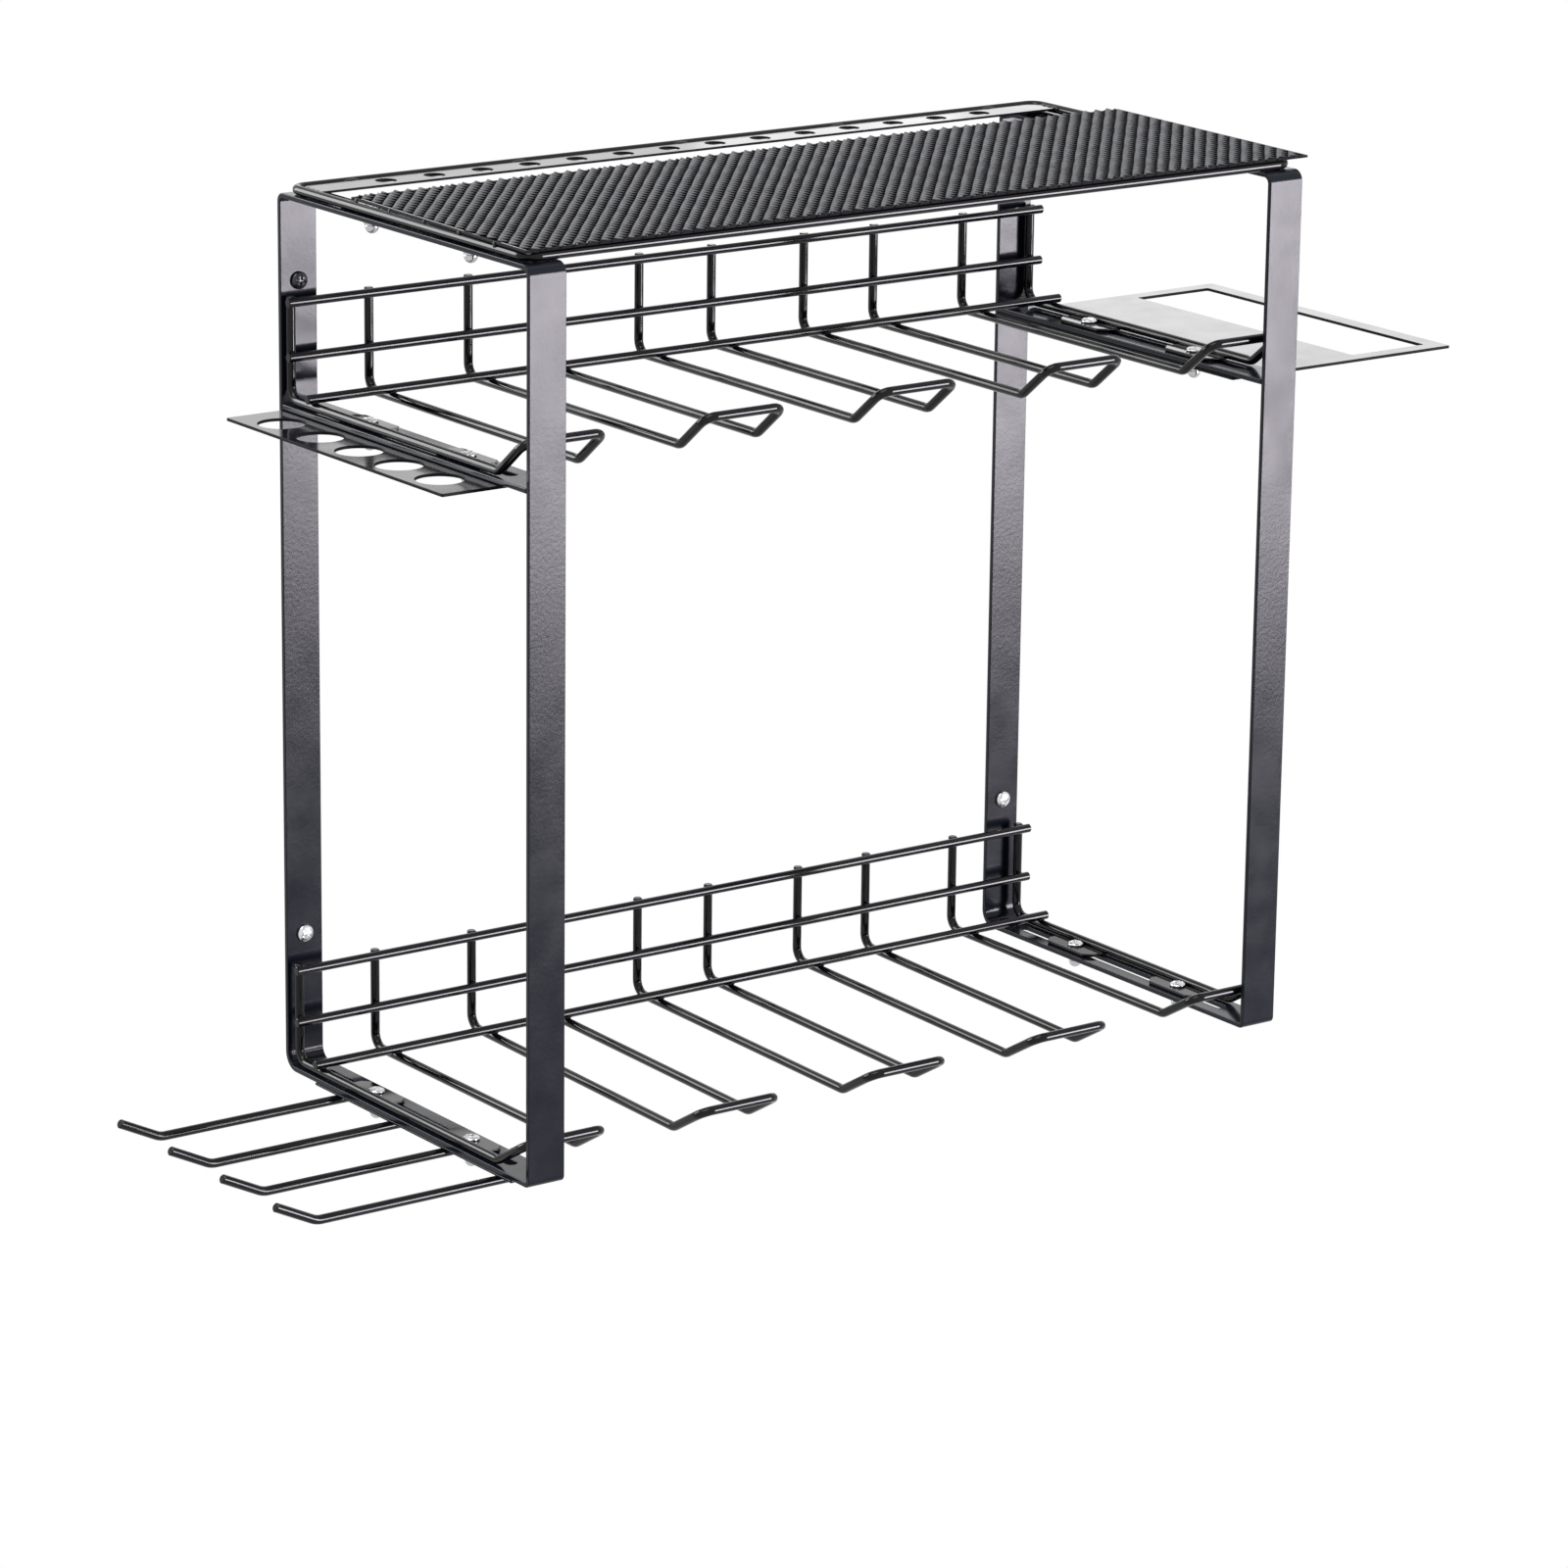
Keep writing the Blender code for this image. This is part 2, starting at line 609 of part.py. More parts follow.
def hook_bar(bar_material, wire_material):
    """A flat strip with hooks welded across its underside."""
    outline = rectangle((-FRAME_FACE, -HOOK_BASE_FRONT), (-FRAME_INNER_FACE, -HOOK_BASE_BACK))
    mesh = slab(outline, screw_holes("left", "lower"), HOOK_BASE_THICKNESS)
    height = under_strip("lower", HOOK_BASE_THICKNESS)
    add_object("hook_base", mesh, bar_material, level_plane(height))
    level = height - SEAT_TO_WIRE
    bend = -(FRAME_FACE + HOOK_REACH)
    rise = HOOK_TIP_RUN * math.tan(math.radians(HOOK_TIP_ANGLE))
    for i, ahead in enumerate(HOOK_PLACES):
        corners = [
            (-FRAME_INNER_FACE - HOOK_INNER_EDGE, -ahead, level),
            (bend, -ahead, level),
            (bend - HOOK_TIP_RUN, -ahead, level + rise),
        ]
        wire(f"hook_{i + 1}", rounded_corners(corners, [0, HOOK_BEND, 0]), wire_material)


def domed_head(diameter, height):
    """The profile of a low round head, from its crown down to its rim."""
    radius = diameter / 2
    shoulder = height * DOME_SHOULDER_SHARE
    steps = 3
    crown = []
    for i in range(steps + 1):
        angle = math.pi / 2 * (1 - i / steps)
        rise = shoulder + (height - shoulder) * math.sin(angle)
        crown.append((radius * math.cos(angle), rise))
    crown[0] = (0, height)
    return crown + [(radius, 0)]


def cross_recess(mesh, diameter, height, material):
    """Sink a cross into a screw's head and give back the finished mesh."""
    screw = add_object("screw_blank", mesh, material)
    long_half = diameter * RECESS_LENGTH_SHARE / 2
    short_half = diameter * RECESS_WIDTH_SHARE / 2
    low = height * (1 - RECESS_DEPTH_SHARE)
    arms = [
        (long_half, short_half), (short_half, short_half), (short_half, long_half),
        (-short_half, long_half), (-short_half, short_half), (-long_half, short_half),
        (-long_half, -short_half), (-short_half, -short_half), (-short_half, -long_half),
        (short_half, -long_half), (short_half, -short_half), (long_half, -short_half),
    ]
    cross = add_object("cross_cutter", slab(arms, [], height), None, level_plane(low))
    cut(screw, cross)
    finished = settled_mesh(screw)
    bpy.data.objects.remove(screw, do_unlink=True)
    bpy.data.objects.remove(cross, do_unlink=True)
    return finished


def tab_screw_mesh(shank_length, material):
    """A round-headed screw whose head seats at height zero."""
    profile = domed_head(TAB_HEAD, TAB_HEAD_HEIGHT)
    profile += [(SHANK / 2, 0), (SHANK / 2, -shank_length), (0, -shank_length)]
    return cross_recess(turned(profile, SCREW_SIDES), TAB_HEAD, TAB_HEAD_HEIGHT, material)


def wall_screw_mesh(material):
    """A pointed screw whose head seats at height zero."""
    tip = BAR_THICKNESS + WALL_SHANK_LENGTH
    profile = domed_head(WALL_HEAD, WALL_HEAD_HEIGHT)
    profile += [(SHANK / 2, 0), (SHANK / 2, WALL_POINT_LENGTH - tip), (0, -tip)]
    blank = turned(profile, WALL_SCREW_SIDES)
    return cross_recess(blank, WALL_HEAD, WALL_HEAD_HEIGHT, material)


def cap_nut_mesh(material):
    """A hexagon with a domed cap and a blind bore, its open face at height zero."""
    corner = NUT_FLATS / math.cos(math.pi / 6)
    nut = add_object("nut_blank", slab(circle((0, 0), corner, 6), [], NUT_HEX_HEIGHT), material)
    radius = NUT_FLATS / 2 * NUT_DOME_SHARE
    start = NUT_HEX_HEIGHT / 2
    straight = NUT_HEIGHT - radius
    steps = 3
    dome = [(0, start), (radius, start)]
    for i in range(steps):
        angle = math.pi / 2 * i / steps
        dome.append((radius * math.cos(angle), straight + radius * math.sin(angle)))
    dome.append((0, NUT_HEIGHT))
    cap = add_object("nut_cap", turned(dome, SCREW_SIDES), None)
    bore_length = NUT_BORE_DEPTH + CUT_OVERRUN
    bore = slab(circle((0, 0), SCREW_HOLE, HOLE_SIDES), [], bore_length)
    bore_cutter = add_object("bore_cutter", bore, None, level_plane(-CUT_OVERRUN))
    fuse(nut, cap)
    cut(nut, bore_cutter)
    finished = settled_mesh(nut)
    for helper in (nut, cap, bore_cutter):
        bpy.data.objects.remove(helper, do_unlink=True)
    shade_round(finished)
    return finished


def clamp_fasteners(screw_material, nut_material):
    """A screw from above and a cap nut from below at every tab."""
    plates = {
        ("left", "upper"): HOLE_PLATE_THICKNESS,
        ("right", "upper"): TOOL_PLATE_THICKNESS,
        ("left", "lower"): HOOK_BASE_THICKNESS,
    }
    nut_mesh = cap_nut_mesh(nut_material)
    for level, top in STRIP_TOPS.items():
        for side, sign in SIDES.items():
            plate = plates.get((side, level), 0)
            plate_room = plate + CLEARANCE if plate else 0
            nut_face = top - BAR_THICKNESS - plate_room - CLEARANCE
            head_seat = top + TAB_THICKNESS + 2 * CLEARANCE
            screw_mesh = tab_screw_mesh(head_seat - nut_face + NUT_ENGAGEMENT, screw_material)
            for place, ahead in TAB_PLACES.items():
                spot = (sign * BAR_CENTRE, -(TAB_SETBACKS[level] + ahead))
                name = f"{level}_{side}_{place}"
                head = Matrix.Translation((*spot, head_seat))
                add_object(f"{name}_screw", screw_mesh, screw_material, head)
                below = Matrix.Translation((*spot, nut_face)) @ Matrix.Rotation(math.pi, 4, "X")
                add_object(f"{name}_cap_nut", nut_mesh, nut_material, below)


def wall_screws(plated, blackened):
    """Two screws through the back post of each frame into the wall."""
    for side, sign in SIDES.items():
        for level, height in WALL_SCREW_HEIGHTS.items():
            dark = side == "left" and level == "high"
            material = blackened if dark else plated
            seat = Matrix.Translation((sign * BAR_CENTRE, -POST_CLEAR, height))
            mesh = wall_screw_mesh(material)
            matrix = seat @ Matrix.Rotation(math.pi / 2, 4, "X")
            add_object(f"{side}_{level}_wall_screw", mesh, material, matrix)


def build():
    clear_scene()
    bar_coat = finish("bar black coat", (0.030, 0.031, 0.036), 0.0, 0.32, 0.5)
    wire_coat = finish("wire black coat", (0.012, 0.012, 0.014), 0.0, 0.18, 0.6)
    sheet_coat = finish("sheet black coat", (0.035, 0.036, 0.040), 0.0, 0.25, 0.5)
    mesh_coat = finish("mesh dark coat", (0.030, 0.031, 0.034), 0.0, 0.45)
    zinc = finish("bright zinc", (0.74, 0.74, 0.76), 1.0, 0.24)
    chrome = finish("polished nickel", (0.82, 0.82, 0.84), 1.0, 0.12)
    black_screw = finish("blackened steel", (0.05, 0.05, 0.055), 0.8, 0.35)

    for side in SIDES:
        side_frame(side, bar_coat)
        mid_strip(side, bar_coat)
    shelf_rim(wire_coat)
    hole_strip(sheet_coat)
    shelf_mesh(mesh_coat)
    rack("upper", wire_coat)
    rack("lower", wire_coat)
    hole_plate(sheet_coat)
    tool_plate(sheet_coat)
    hook_bar(bar_coat, wire_coat)
    clamp_fasteners(zinc, chrome)
    wall_screws(zinc, black_screw)


build()
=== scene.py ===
import math

import bmesh
import bpy
import numpy as np
from mathutils import Matrix, Vector
from mathutils.geometry import tessellate_polygon


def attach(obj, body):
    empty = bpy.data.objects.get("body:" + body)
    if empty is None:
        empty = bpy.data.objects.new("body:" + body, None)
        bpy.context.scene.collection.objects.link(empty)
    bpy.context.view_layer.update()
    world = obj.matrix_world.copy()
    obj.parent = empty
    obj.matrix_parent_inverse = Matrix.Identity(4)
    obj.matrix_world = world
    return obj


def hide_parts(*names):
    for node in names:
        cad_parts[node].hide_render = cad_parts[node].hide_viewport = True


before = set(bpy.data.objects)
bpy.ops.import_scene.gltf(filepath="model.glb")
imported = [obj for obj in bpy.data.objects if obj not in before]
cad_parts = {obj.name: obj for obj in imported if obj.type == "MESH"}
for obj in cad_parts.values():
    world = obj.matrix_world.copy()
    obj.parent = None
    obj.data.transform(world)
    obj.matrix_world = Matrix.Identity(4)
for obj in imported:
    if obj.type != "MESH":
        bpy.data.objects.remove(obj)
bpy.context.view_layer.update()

print("stage: frame loaded,", len(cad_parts), "nodes")

# All sizes are metres. X runs along the wall, Y = 0 is the wall and the rack is at Y < 0, and
# Z = 0 is the underside of the side frames.
rack = {
    "frameHeight": 0.4346,
    "frameDepth": 0.215,
    "barWidth": 0.020,
    "barThickness": 0.0025,
    "barCentre": 0.215,      # from the middle of the rack to the middle of a side frame
    "midStripTop": 0.3327,
    "wire": 0.0045,
    "gap": 0.0003,           # what the solids leave between touching pieces
    "bite": 0.0005,          # how deep welded wires sink into each other
    "holeSides": 24,         # corners in the outline of a small hole, or in each end of a slot
}
sides = {"left": -1, "right": 1}
stripTops = {
    "lower": rack["barThickness"],
    "upper": rack["midStripTop"],
    "shelf": rack["frameHeight"],
}
wireRadius = rack["wire"] / 2
rimLevel = rack["frameHeight"] + rack["gap"] + wireRadius
frameFace = rack["barCentre"] + rack["barWidth"] / 2
innerFace = rack["barCentre"] - rack["barWidth"] / 2
postClear = rack["barThickness"] + rack["gap"]


# camera

# angles in degrees, lens and sensor in millimetres
view = {
    "place": (-1.7427, -2.5013, 0.9756),
    "azimuth": 36.0,
    "elevation": 15.855,
    "roll": 0.711,
    "lens": 143.87,
    "sensor": 36.0,
    "clipEnd": 100.0,
}


def addCamera():
    # looks along (sin a cos e, cos a cos e, -sin e), with its right and up turned by the roll
    a, e, roll = (math.radians(view[key]) for key in ("azimuth", "elevation", "roll"))
    ahead = Vector((math.sin(a) * math.cos(e), math.cos(a) * math.cos(e), -math.sin(e)))
    level = Vector((math.cos(a), -math.sin(a), 0))
    over = level.cross(ahead)
    right = math.cos(roll) * level + math.sin(roll) * over
    up = -math.sin(roll) * level + math.cos(roll) * over
    data = bpy.data.cameras.new("camera")
    data.lens = view["lens"]
    data.sensor_width = view["sensor"]
    data.clip_end = view["clipEnd"]
    camera = bpy.data.objects.new("camera", data)
    turn = Matrix((right, up, -ahead)).transposed().to_4x4()
    camera.matrix_world = Matrix.Translation(view["place"]) @ turn
    bpy.context.scene.collection.objects.link(camera)
    bpy.context.scene.camera = camera


addCamera()
print("stage: camera")


# shapes: each is (points, faces, flat, material index), and a whole one has both for every face

def unit(vectors):
    return vectors / np.linalg.norm(vectors, axis=-1, keepdims=True)


def gridQuads(rows, columns, closedRows, closedColumns):
    # the four corners of every cell of a grid, numbered row by row
    row, column = np.meshgrid(
        np.arange(rows if closedRows else rows - 1),
        np.arange(columns if closedColumns else columns - 1), indexing="ij")
    nextRow, nextColumn = (row + 1) % rows, (column + 1) % columns
    cells = [row * columns + column, row * columns + nextColumn,
             nextRow * columns + nextColumn, nextRow * columns + column]
    return np.stack([cell.ravel() for cell in cells], axis=1)


def fullTurn(count):
    return np.linspace(0, 2 * math.pi, count, endpoint=False)


def endCaps(rows, sides):
    # the two faces that close a tube of so many rows
    last = (rows - 1) * sides
    return [list(range(sides - 1, -1, -1)), list(range(last, last + sides))]


def bentPath(corners, bends, step=7.5, lead=0.0008):
    # straight runs joined by arcs, each arc = centre + bend * (cos t * out + sin t * onward), with
    # at most step degrees from point to point; a point at the distance lead before and after
    # each arc keeps the straight runs looking straight
    corners = np.array(corners, float)
    runs = []
    for i, bend in enumerate(bends):
        here = corners[i]
        if bend <= 0:
            runs.append(here[None])
            continue
        back = unit(corners[i - 1] - here)
        ahead = unit(corners[(i + 1) % len(corners)] - here)
        turn = math.pi - math.acos(np.clip(back @ ahead, -1, 1))
        centre = here + unit(back + ahead) * bend / math.cos(turn / 2)
        out = unit(here + back * bend * math.tan(turn / 2) - centre)
        t = np.linspace(0, turn, max(2, math.ceil(math.degrees(turn) / step)) + 1)[:, None]
        arc = centre + bend * (np.cos(t) * out - np.sin(t) * back)
        runs.append(np.vstack([arc[:1] + back * lead, arc, arc[-1:] + ahead * lead]))
    return np.vstack(runs)


def tube(path, radius, sides=16, closed=False, chamfer=0.0004):
    # ring(k, a) = path(k) + radius(k) * (cos a * first(k) + sin a * second(k)); first is a fixed
    # slanted direction less its part along the path, second is square to both, and the radius
    # is less by the chamfer at an open end
    if closed:
        steps = unit(np.roll(path, -1, axis=0) - path)
        along = unit(steps + np.roll(steps, 1, axis=0))
        radii = np.full(len(path), radius)
    else:
        start, end = unit(path[1] - path[0]), unit(path[-2] - path[-1])
        path = np.vstack([path[:1], path[:1] + start * chamfer, path[1:-1],
                          path[-1:] + end * chamfer, path[-1:]])
        steps = unit(np.diff(path, axis=0))
        along = unit(np.vstack([steps[:1], steps[1:] + steps[:-1], steps[-1:]]))
        radii = np.full(len(path), radius)
        radii[[0, -1]] -= chamfer
    slant = unit(np.array([0.55, 0.62, 0.56]))
    first = unit(slant - (along @ slant)[:, None] * along)
    second = np.cross(along, first)
    a = fullTurn(sides)[None, :, None]
    rings = np.cos(a) * first[:, None] + np.sin(a) * second[:, None]
    points = path[:, None] + radii[:, None, None] * rings
    shapes = [(points.reshape(-1, 3), gridQuads(len(path), sides, closed, True), False, 0)]
    if not closed:
        shapes.append((None, endCaps(len(path), sides), True, 0))
    return merged(shapes, shared=True)


def circleLoop(centre, diameter, count):
    # loop(a) = centre + diameter / 2 * (cos a, sin a)
    a = fullTurn(count)
    return np.array(centre) + diameter / 2 * np.stack([np.cos(a), np.sin(a)], axis=1)


def slotLoop(centre, width, length, count):
    # two half circles, one at each end of a straight run along the second axis
    t = np.linspace(0, math.pi, count)
    half = np.stack([width / 2 * np.cos(t), (length - width) / 2 + width / 2 * np.sin(t)], axis=1)
    return np.array(centre) + np.vstack([half, -half])


def cornerLoop(corners, bend, step=15, leadShare=0.1):
    # straight runs between the corners, each corner rounded by an arc
    flat = [(x, y, 0) for x, y in corners]
    return bentPath(flat, [bend] * len(flat), step, bend * leadShare)[:, :2]


def boxCorners(low, high):
    return [(low[0], low[1]), (high[0], low[1]), (high[0], high[1]), (low[0], high[1])]


def loopOutward(loop):
    # the mitred direction away from the material at each point of a loop that keeps it on the left
    steps = unit(np.roll(loop, -1, axis=0) - loop)
    after = np.stack([steps[:, 1], -steps[:, 0]], axis=1)
    before = np.roll(after, 1, axis=0)
    return (after + before) / (1 + (after * before).sum(axis=1, keepdims=True))


def plate(outline, holes, low, high, edge=0.0003, steps=3, wall=0):
    # every loop is carried round a rounded edge: at angle t its points move in by
    # edge * (1 - cos t) and lie at edge * sin t beyond the straight part of the wall
    t = np.linspace(0, math.pi / 2, steps + 1)
    inset, rise = edge * (1 - np.cos(t)), edge * np.sin(t)
    inset = np.concatenate([inset[::-1], inset])
    height = np.concatenate([low + edge - rise[::-1], high - edge + rise])
    loops = [outline] + [hole[::-1] for hole in holes]
    shapes, firsts, lasts, count = [], [], [], 0
    for loop in loops:
        rows = loop[None] - inset[:, None, None] * loopOutward(loop)[None]
        levels = np.broadcast_to(height[:, None, None], rows.shape[:2] + (1,))
        points = np.concatenate([rows, levels], axis=2).reshape(-1, 3)
        quads = gridQuads(len(height), len(loop), False, True) + count
        shapes.append((points, quads, False, wall))
        firsts.append(np.arange(len(loop)) + count)
        lasts.append(firsts[-1] + (len(height) - 1) * len(loop))
        count += len(points)
    inner = [loop - edge * loopOutward(loop) for loop in loops]
    fill = np.array(tessellate_polygon([[Vector((x, y, 0)) for x, y in loop] for loop in inner]))
    one, two, three = (np.vstack(inner)[fill[:, k]] for k in range(3))
    (ax, ay), (bx, by) = (two - one).T, (three - one).T
    backward = ax * by - ay * bx < 0
    fill[backward] = fill[backward][:, ::-1]
    shapes.append((None, np.concatenate(lasts)[fill], True, 0))
    shapes.append((None, np.concatenate(firsts)[fill][:, ::-1], True, 0))
    return merged(shapes, shared=True)


def turned(radii, heights, sides, lift=None):
    # row(k, a) = (r cos a, r sin a, h), with r a number or a rule of the angle; lift adds to the
    # height by place, which sinks the cross into a head
    a = fullTurn(sides)
    r = np.stack([np.broadcast_to(rule(a) if callable(rule) else rule, a.shape) for rule in radii])
    h = np.broadcast_to(np.array(heights)[:, None], r.shape)
    points = np.stack([r * np.cos(a), r * np.sin(a), h], axis=2)
    if lift is not None:
        points[..., 2] += lift(points)
    quads = gridQuads(len(heights), sides, False, True)
    caps = endCaps(len(heights), sides)
    return merged([(points.reshape(-1, 3), quads, False, 0), (None, caps, True, 0)], shared=True)


def merged(shapes, shared=False):
    # several shapes as one; where shared is set, shapes without points use those of all before them
    points = np.vstack([shape[0] for shape in shapes if shape[0] is not None])
    faces, flats, slots, count = [], [], [], 0
    for own, cells, flat, slotIndex in shapes:
        offset = 0 if shared else count
        cells = [[int(v) + offset for v in cell] for cell in cells]
        faces += cells
        flats += flat if isinstance(flat, list) else [flat] * len(cells)
        slots += slotIndex if isinstance(slotIndex, list) else [slotIndex] * len(cells)
        if own is not None:
            count += len(own)
    return points, faces, flats, slots


# what pointed up faces away from the wall, or down
facingOut = np.array(((1, 0, 0), (0, 0, -1), (0, 1, 0)))
upsideDown = np.array(((1, 0, 0), (0, -1, 0), (0, 0, -1)))


def placed(shape, matrix, shift=(0, 0, 0)):
    # every point becomes matrix * point + shift
    return (shape[0] @ matrix.T + np.array(shift),) + shape[1:]


def putMesh(name, shape, sharp=38.0):
    # an edge where the faces turn by more than sharp degrees isn't smoothed
    points, faces, flats, slots = shape
    mesh = bpy.data.meshes.new(name)
    mesh.from_pydata(points, [], faces)
    mesh.polygons.foreach_set("material_index", slots)
    mesh.set_sharp_from_angle(angle=math.radians(sharp))
    mesh.polygons.foreach_set("use_smooth", [not flat for flat in flats])
    mesh.update()
    return mesh


def putPiece(name, mesh, nodes, slotName, *materials):
    piece = bpy.data.objects.new(name, mesh)
    bpy.context.scene.collection.objects.link(piece)
    for material in materials:
        mesh.materials.append(material)
    if nodes:
        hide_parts(*nodes)
    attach(piece, "root")
    return piece


def putShape(name, shape, nodes, slotName, *materials):
    putPiece(name, putMesh(name, shape), nodes, slotName, *materials)


# materials

noiseRange = (0.3, 0.7)                 # nearly all of a noise lies in here
# the near black of the painted shade
paintedShadeColour = (0.003, 0.003, 0.004)
coatDetail = {"cloud": 3, "peel": 2}
metalSurface = {"specular": 0.5, "detail": 4, "noiseRoughness": 0.6, "peel": 0.05, "depth": 0.00004}


def newMaterial(name, colour, metallic, roughness, specular):
    material = bpy.data.materials.new(name)
    material.use_nodes = True
    shader = material.node_tree.nodes["Principled BSDF"]
    shader.inputs["Base Color"].default_value = (*colour, 1)
    shader.inputs["Metallic"].default_value = metallic
    shader.inputs["Roughness"].default_value = roughness
    shader.inputs["Specular IOR Level"].default_value = specular
    return material, material.node_tree.nodes, material.node_tree.links, shader


def addNoise(nodes, links, scale, detail, roughness=0.5):
    place = nodes.new("ShaderNodeTexCoord")
    noise = nodes.new("ShaderNodeTexNoise")
    noise.inputs["Scale"].default_value = scale
    noise.inputs["Detail"].default_value = detail
    noise.inputs["Roughness"].default_value = roughness
    links.new(place.outputs["Object"], noise.inputs["Vector"])
    return noise


def spreadTo(nodes, links, noise, low, high, socket):
    ramp = nodes.new("ShaderNodeMapRange")
    ramp.inputs["From Min"].default_value = noiseRange[0]
    ramp.inputs["From Max"].default_value = noiseRange[1]
    ramp.inputs["To Min"].default_value = low
    ramp.inputs["To Max"].default_value = high
    links.new(noise.outputs["Fac"], ramp.inputs["Value"])
    links.new(ramp.outputs["Result"], socket)


def addPeel(nodes, links, shader, noise, strength, distance):
    bump = nodes.new("ShaderNodeBump")
    bump.inputs["Strength"].default_value = strength
    bump.inputs["Distance"].default_value = distance
    links.new(noise.outputs["Fac"], bump.inputs["Height"])
    links.new(bump.outputs["Normal"], shader.inputs["Normal"])


def mixColours(nodes, links, noise, dark, light, socket):
    mix = nodes.new("ShaderNodeMix")
    mix.data_type = "RGBA"
    mix.inputs["A"].default_value = (*dark, 1)
    mix.inputs["B"].default_value = (*light, 1)
    links.new(noise.outputs["Fac"], mix.inputs["Factor"])
    links.new(mix.outputs["Result"], socket)


def addPaintedShade(nodes, links, shader, low, high):
    # painted shade: black and dull below the one height, the coat's own look above the other, so
    # that the low parts of the strands stand in for the shade in the sheet's openings
    place = nodes.new("ShaderNodeTexCoord")
    split = nodes.new("ShaderNodeSeparateXYZ")
    links.new(place.outputs["Object"], split.inputs["Vector"])
    ramp = nodes.new("ShaderNodeMapRange")
    ramp.interpolation_type = "SMOOTHSTEP"
    ramp.inputs["From Min"].default_value = low
    ramp.inputs["From Max"].default_value = high
    links.new(split.outputs["Z"], ramp.inputs["Value"])
    mix = nodes.new("ShaderNodeMix")
    mix.data_type = "RGBA"
    mix.inputs["A"].default_value = (*paintedShadeColour, 1)
    links.new(ramp.outputs["Result"], mix.inputs["Factor"])
    links.new(shader.inputs["Base Color"].links[0].from_socket, mix.inputs["B"])
    links.new(mix.outputs["Result"], shader.inputs["Base Color"])
    gloss = nodes.new("ShaderNodeMath")
    gloss.operation = "MULTIPLY"
    gloss.inputs[1].default_value = shader.inputs["Specular IOR Level"].default_value
    links.new(ramp.outputs["Result"], gloss.inputs[0])
    links.new(gloss.outputs["Value"], shader.inputs["Specular IOR Level"])


coats = {
    "bar": {
        "dark": (0.005, 0.007, 0.013), "light": (0.009, 0.011, 0.018),
        "roughness": (0.14, 0.19), "specular": 0.18,
        "cloudScale": 60, "peelScale": 520, "peel": 0.3, "depth": 0.00007,
    },
    "wire": {
        "dark": (0.002, 0.002, 0.003), "light": (0.004, 0.004, 0.006),
        "roughness": (0.07, 0.10), "specular": 0.24,
        "cloudScale": 60, "peelScale": 300, "peel": 0.03, "depth": 0.00005,
    },
    "sheet": {
        "dark": (0.006, 0.006, 0.009), "light": (0.012, 0.012, 0.016),
        "roughness": (0.10, 0.14), "specular": 0.50,
        "cloudScale": 60, "peelScale": 700, "peel": 0.06, "depth": 0.00005,
    },
    "mesh": {
        "dark": (0.010, 0.011, 0.016), "light": (0.260, 0.264, 0.280),
        "roughness": (0.35, 0.50), "specular": 0.5,
        "cloudScale": 450, "peelScale": 1400, "peel": 0.25, "depth": 0.0001,
        "shade": (0.4406, 0.4413),      # painted shade: black below the first height, light above the second, for the shade in the openings
    },
    # painted shade: a dull, near black copy of the mesh coat for the strands' cut sides and
    # undersides, the sheet's edge and the walls of some plates
    "mesh side": {
        "dark": (0.003, 0.003, 0.004), "light": (0.008, 0.008, 0.010),
        "roughness": (0.50, 0.65), "specular": 0.08,
        "cloudScale": 60, "peelScale": 1400, "peel": 0.25, "depth": 0.0001,
    },
}
metals = {
    "zinc": {"colour": (0.70, 0.70, 0.72), "roughness": (0.14, 0.24), "grain": 1800},
    "nickel": {"colour": (0.50, 0.50, 0.52), "roughness": (0.05, 0.10), "grain": 900},
    "blackSteel": {"colour": (0.055, 0.055, 0.060), "roughness": (0.25, 0.38), "grain": 1500},
}


def coatMaterial(name):
    coat = coats[name]
    material, nodes, links, shader = newMaterial(
        name + " coat", coat["dark"], 0, coat["roughness"][0], coat["specular"])
    cloud = addNoise(nodes, links, coat["cloudScale"], coatDetail["cloud"])
    peel = addNoise(nodes, links, coat["peelScale"], coatDetail["peel"])
    mixColours(nodes, links, cloud, coat["dark"], coat["light"], shader.inputs["Base Color"])
    spreadTo(nodes, links, cloud, *coat["roughness"], shader.inputs["Roughness"])
    addPeel(nodes, links, shader, peel, coat["peel"], coat["depth"])
    # painted shade in the sheet's openings, set by height
    if "shade" in coat:
        addPaintedShade(nodes, links, shader, *coat["shade"])
    return material


def metalMaterial(name):
    metal, own = metals[name], metalSurface
    material, nodes, links, shader = newMaterial(
        name, metal["colour"], 1, metal["roughness"][0], own["specular"])
    grain = addNoise(nodes, links, metal["grain"], own["detail"], own["noiseRoughness"])
    spreadTo(nodes, links, grain, *metal["roughness"], shader.inputs["Roughness"])
    addPeel(nodes, links, shader, grain, own["peel"], own["depth"])
    return material


barCoat, wireCoat, sheetCoat, meshCoat, paintedShadeCoat = (coatMaterial(name) for name in coats)
zinc, nickel, blackSteel = (metalMaterial(name) for name in metals)
print("stage: materials")


# side frames and their middle strips

sideFrame = {
    "bends": (0.009, 0.0032, 0.0055, 0.0045),  # low back, low front, top front, top back
    "bendStep": 6,
    "slotWidth": 0.0056,
    "slotLength": 0.168,
    "slotFromWall": 0.020,
    "wallHole": 0.0048,
    "wallHoles": (0.068, 0.3915),
    "edge": 0.0004,
    "edgeRings": 3,
    "edgeAngle": 50,         # edges that turn by less, in degrees, are left alone
}


def barSlot(x):
    width, length = sideFrame["slotWidth"], sideFrame["slotLength"]
    middle = (x, -sideFrame["slotFromWall"] - length / 2)
    return slotLoop(middle, width, length, rack["holeSides"])


